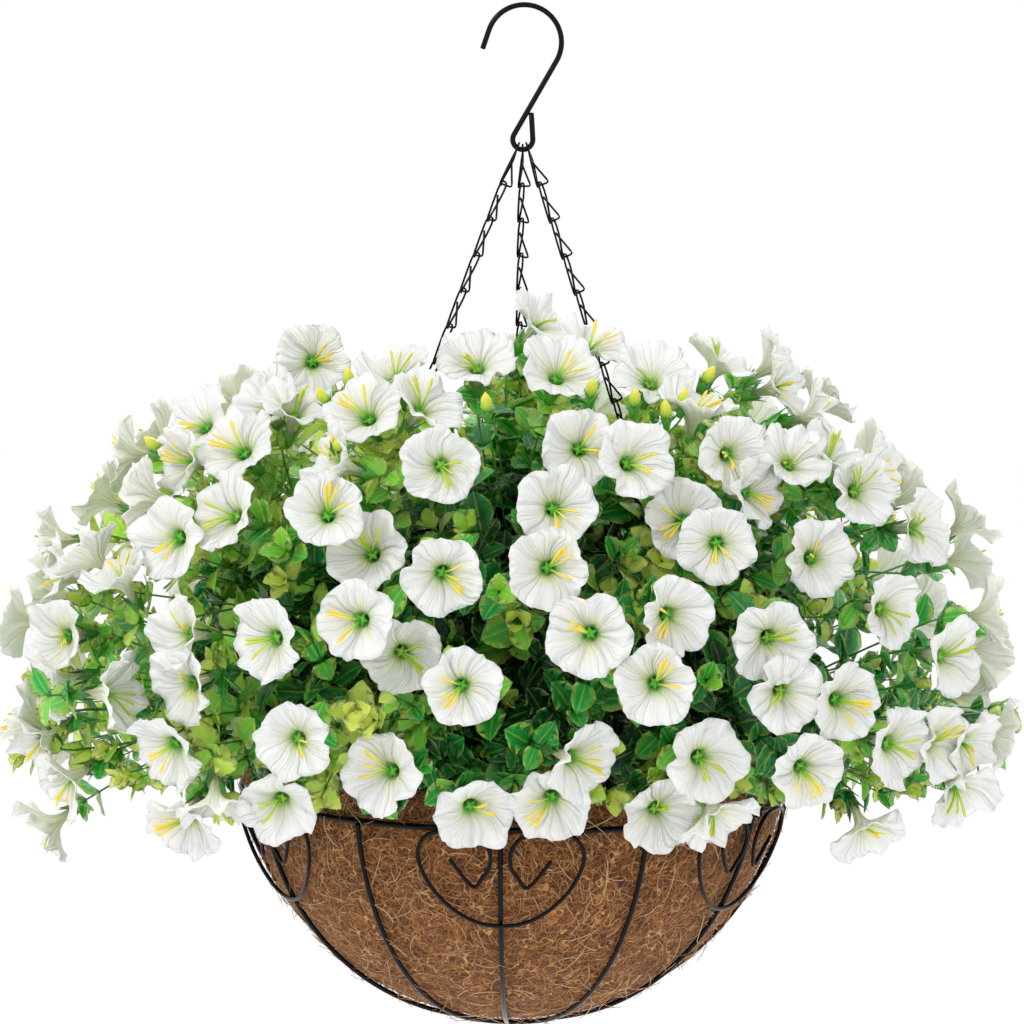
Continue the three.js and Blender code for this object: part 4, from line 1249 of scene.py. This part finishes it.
def turn_to(ahead, up):
    """The turn that takes +X ahead and +Z towards up."""
    ahead = ahead.normalized()
    side = up.cross(ahead)
    if side.length < 1e-4:
        side = Vector((1, 0.2, 0)).cross(ahead)
    side.normalize()
    return Matrix((ahead, side, ahead.cross(side))).transposed().to_quaternion()


def square_to(along, turn):
    """A way square to a run, turned about it."""
    way = along.orthogonal().normalized()
    way.rotate(Quaternion(along, turn))
    return way


# ---------- Sprays and leafy stems ----------

TWIGS = {"all": 23, "inner": 7}
TWIG_STEPS = 6
TWIG_FLOOR = RING_Z + 14  # no twig ends below this
TWIG_CREST = RING_Z + 42  # a twig that ends further out than RIM_REACH climbs towards this first
RIM_REACH = 120
STALK_TURN = 9  # a stalk runs straight over this last part
STALK_GAP = 1.2
# Leaves on a run: from and to, as shares of its length, then pairs, size and tint.
ON_SPRAY_STEM = (0.4, 0.95, 4, 1.25, 0.15)
ON_STALK = (0.22, 0.9, 6, 1.3)
ON_TWIG = (0.3, 0.94)
ON_LEAFY_STEM = (0.5, 0.97, 9, 1.15, 0.45)
# Leaves are yellower towards the end of a run and on its tip. Painted light makes them yellower to the left
# and at the top, and painted shade makes them the darkest deep inside.
LEAF_TINT_AND_PAINTED_LIGHT = {"left": 0.22, "top": 0.14, "deep": 0.8, "end": 0.25, "tip": 0.35, "spread": 0.14}
PLANT_SEEDS = {"sprays": (9000, 131), "leafy_stems": (4000, 97)}


class Growth:
    """What one stem bears: its runs of wire and its leaves."""

    def __init__(self, kind, number):
        first, step = PLANT_SEEDS[kind]
        self.draw = Draw(first + step * number)
        self.runs = []
        self.leaves = []

    def leaf(self, foot, ahead, up, size, tint):
        if crosses_bloom(foot + ahead.normalized() * LEAF_LENGTH * size * 0.6):
            return
        kind = int(self.draw(0, KINDS["leaves"]))
        # Painted light to the left and at the top; painted shade deep inside the dome.
        tint += LEAF_TINT_AND_PAINTED_LIGHT["left"] * clamped(-foot.x / 150) + LEAF_TINT_AND_PAINTED_LIGHT["top"] * clamped((foot.z - RING_Z - 110) / 90)
        way = foot - MIDDLE
        tint -= LEAF_TINT_AND_PAINTED_LIGHT["deep"] * clamped(0.9 - way.length / dome_reach(way.normalized()), 0.45)
        tint = clamped(tint + self.draw(-LEAF_TINT_AND_PAINTED_LIGHT["spread"], LEAF_TINT_AND_PAINTED_LIGHT["spread"]))
        self.leaves.append((foot, turn_to(ahead, up), size, kind, tint))

    def pairs(self, run, start, stop, count, size, tint, tip=True):
        """Opposite pairs of leaves along a run, every pair a quarter turn on, and three at its tip."""
        spin = self.draw(0, TAU)
        steps = len(run) - 1
        for pair in range(count):
            t = (start + (stop - start) * (pair + self.draw(-0.2, 0.2)) / max(1, count - 1)) * steps
            t = min(max(t, 0), steps - 1e-3)
            k = int(t)
            foot = run[k].lerp(run[k + 1], t - k)
            along = (run[k + 1] - run[k]).normalized()
            first = square_to(along, spin + pair * pi / 2)
            share = 1 - 0.35 * pair / max(1, count - 1)
            for sign in (1, -1):
                ahead = first * sign + along * self.draw(0.25, 0.8) - UP * self.draw(0, 0.25)
                wide = size * share * self.draw(0.8, 1.15)
                self.leaf(foot, ahead, along, wide, tint + LEAF_TINT_AND_PAINTED_LIGHT["end"] * (1 - share))
        if tip:
            along = (run[-1] - run[-2]).normalized()
            for k in range(3):
                ahead = square_to(along, spin + k * TAU / 3)
                wide = size * self.draw(0.45, 0.65)
                self.leaf(run[-1], along * 1.4 + ahead, along - ahead * 0.5, wide, tint + LEAF_TINT_AND_PAINTED_LIGHT["tip"])

    def twig(self, start, end, pairs, size, tint, width=1.3):
        """A side shoot that climbs a little before it reaches its end, and stays above the rim."""
        end = Vector((end.x, end.y, max(end.z, TWIG_FLOOR + self.draw(0, 12))))
        middle = start.lerp(end, 0.5)
        middle.z = max(middle.z + 8, TWIG_CREST if hypot(end.x, end.y) > RIM_REACH else middle.z)
        run = bent(start, middle, end, TWIG_STEPS)
        clear = next((i for i, spot in enumerate(run) if crosses_bloom(spot, BLOOM_RADIUS + 2)), len(run))
        run = run[:clear]
        if len(run) < 4:
            return
        self.runs.append((run, [width * (1 - 0.4 * i / TWIG_STEPS) for i in range(len(run))]))
        self.pairs(run, *ON_TWIG, pairs, size, tint)

    def stalk(self, hub, base, face, gap=0.0, bow=Vector()):
        """A stalk from the hub, bowed, that ends straight in a bloom or bud."""
        middle = hub.lerp(base - face * 10, 0.5) + bow
        run = smooth_run([hub, middle, base - face * STALK_TURN, base - face * gap], 3)
        self.runs.append((run, STEM_WIDTH["stalk"]))
        return run

    def green(self):
        return wires("stalks", self.runs, STEM_PLASTIC)

    def foliage(self):
        return planted("leaves", self.leaves, LEAVES, LEAF_PLASTIC)


def add_twigs(grown, hub, azimuth, band):
    """The leafy side shoots of a spray, some deep inside the dome and most near its surface."""
    draw = grown.draw
    low, high, sectors, _ = BANDS[band]
    for twig in range(TWIGS["all"]):
        fall = radians(draw(low, high))
        bearing = radians(azimuth + draw(-0.5, 0.5) * (360 / sectors))
        way = Vector((sin(bearing) * sin(fall), -cos(bearing) * sin(fall), cos(fall)))
        if twig < TWIGS["inner"]:
            # Inner twigs' leaves get a low tint: painted shade deep inside the dome.
            share, size, tint = draw(0.45, 0.75), 1.55, -0.2
        else:
            share, size = draw(0.76, 1.02 - 0.14 * max(0, way.z)), draw(1.2, 1.5)
            tint = draw(0.0, 0.85)
        grown.twig(hub, MIDDLE + way * dome_reach(way) * share, 4, size, tint)


def add_sprays():
    buds = by_cell((sighted(x, y, BUD_OUT), facing(turn, tip)) for x, y, turn, tip in FRONT_BUDS)
    for number, (cell, blooms) in enumerate(sorted(by_cell(BLOOMS).items()), 1):
        band, _, azimuth = cell
        grown = Growth("sprays", number)
        draw = grown.draw
        mean = sum((place for place, _ in blooms), Vector()) / len(blooms)
        hub = MIDDLE.lerp(mean, HUB_SHARE)
        hub.z = max(hub.z, RING_Z + HUB_RISE)
        stem = stem_run(outward(azimuth) * BANDS[band][3], hub)
        grown.runs.append((stem, STEM_WIDTH["spray"]))
        grown.pairs(stem, *ON_SPRAY_STEM, tip=False)
        spots, stamens, calyxes, closed = [], [], [], []
        for place, face in blooms:
            bow = Vector((draw(-11, 11), draw(-11, 11), draw(-4, 14)))
            run = grown.stalk(hub, place - face * BLOOM_DEPTH, face, STALK_GAP, bow)
            grown.pairs(run, *ON_STALK, draw(0.1, 0.5), tip=False)
            turn = face.to_track_quat("Z", "Y") @ Quaternion((0, 0, 1), draw(0, TAU))
            size, kind, tint = draw(0.94, 1.04), int(draw(0, KINDS["trumpets"])), draw()
            spots.append((place, turn, size, kind, tint))
            stamens.append((place, turn, size, kind % KINDS["stamens"], tint))
            calyxes.append((place, turn, 1.0, 0, 0.5))
        for place, face in buds.get(cell, []):
            grown.stalk(hub, place - face * BUD_DEPTH, face)
            turn = face.to_track_quat("Z", "Y")
            closed.append((place, turn, BUD_SIZE, 0, BUD_TINT))
            calyxes.append((place + face * BUD_CALYX["ahead"], turn, BUD_CALYX["size"], 0, 0.5))
        add_twigs(grown, hub, azimuth, band)
        yellow = [planted("stamens", stamens, STAMENS, STAMEN_PLASTIC)]
        if closed:
            yellow.append(planted("buds", closed, BUDS, STAMEN_PLASTIC))
        green = [grown.green(), planted("calyxes", calyxes, CALYXES, STEM_PLASTIC)]
        for piece, meshes, slot in [
            ("trumpets", [planted("trumpets", spots, TRUMPETS, PETAL_CLOTH)], "petal"),
            ("stamens", yellow, "petal"),
            ("stalks", green, "leaf"),
            ("leaves", [grown.foliage()], "leaf"),
        ]:
            fit_piece(f"{piece}_{number:02d}", meshes, [f"flowering_spray_{number:02d}"])


def add_leafy_stems():
    for number, (azimuth, fall) in enumerate(LEAFY_STEMS, 1):
        grown = Growth("leafy_stems", number)
        draw = grown.draw
        way = outward(azimuth) * sin(radians(fall)) + UP * cos(radians(fall))
        end = MIDDLE + way * (0.9 * dome_reach(way))
        stem = stem_run(outward(azimuth + 4) * (14 + 1.06 * fall), end)
        last = len(stem) - 1
        grown.runs.append((stem, [STEM_WIDTH["leafy"] * (1 - 0.5 * i / last) for i in range(last + 1)]))
        grown.pairs(stem, *ON_LEAFY_STEM)
        for spot in stem[4:9]:
            side = Vector((draw(-1, 1), draw(-1, 1), draw(-0.4, 0.8))).normalized()
            grown.twig(spot, spot + (way * 0.8 + side).normalized() * draw(35, 55), 3, 0.95, 0.5, 1.1)
        node = f"leafy_stem_{number:02d}"
        fit_piece(f"leafy_stalks_{number:02d}", [grown.green()], [node])
        fit_piece(f"leafy_leaves_{number:02d}", [grown.foliage()], [node])


add_sprays()
add_leafy_stems()

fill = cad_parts["fill"]
fill.data.materials.clear()
fill.data.materials.append(FILL_FOAM)
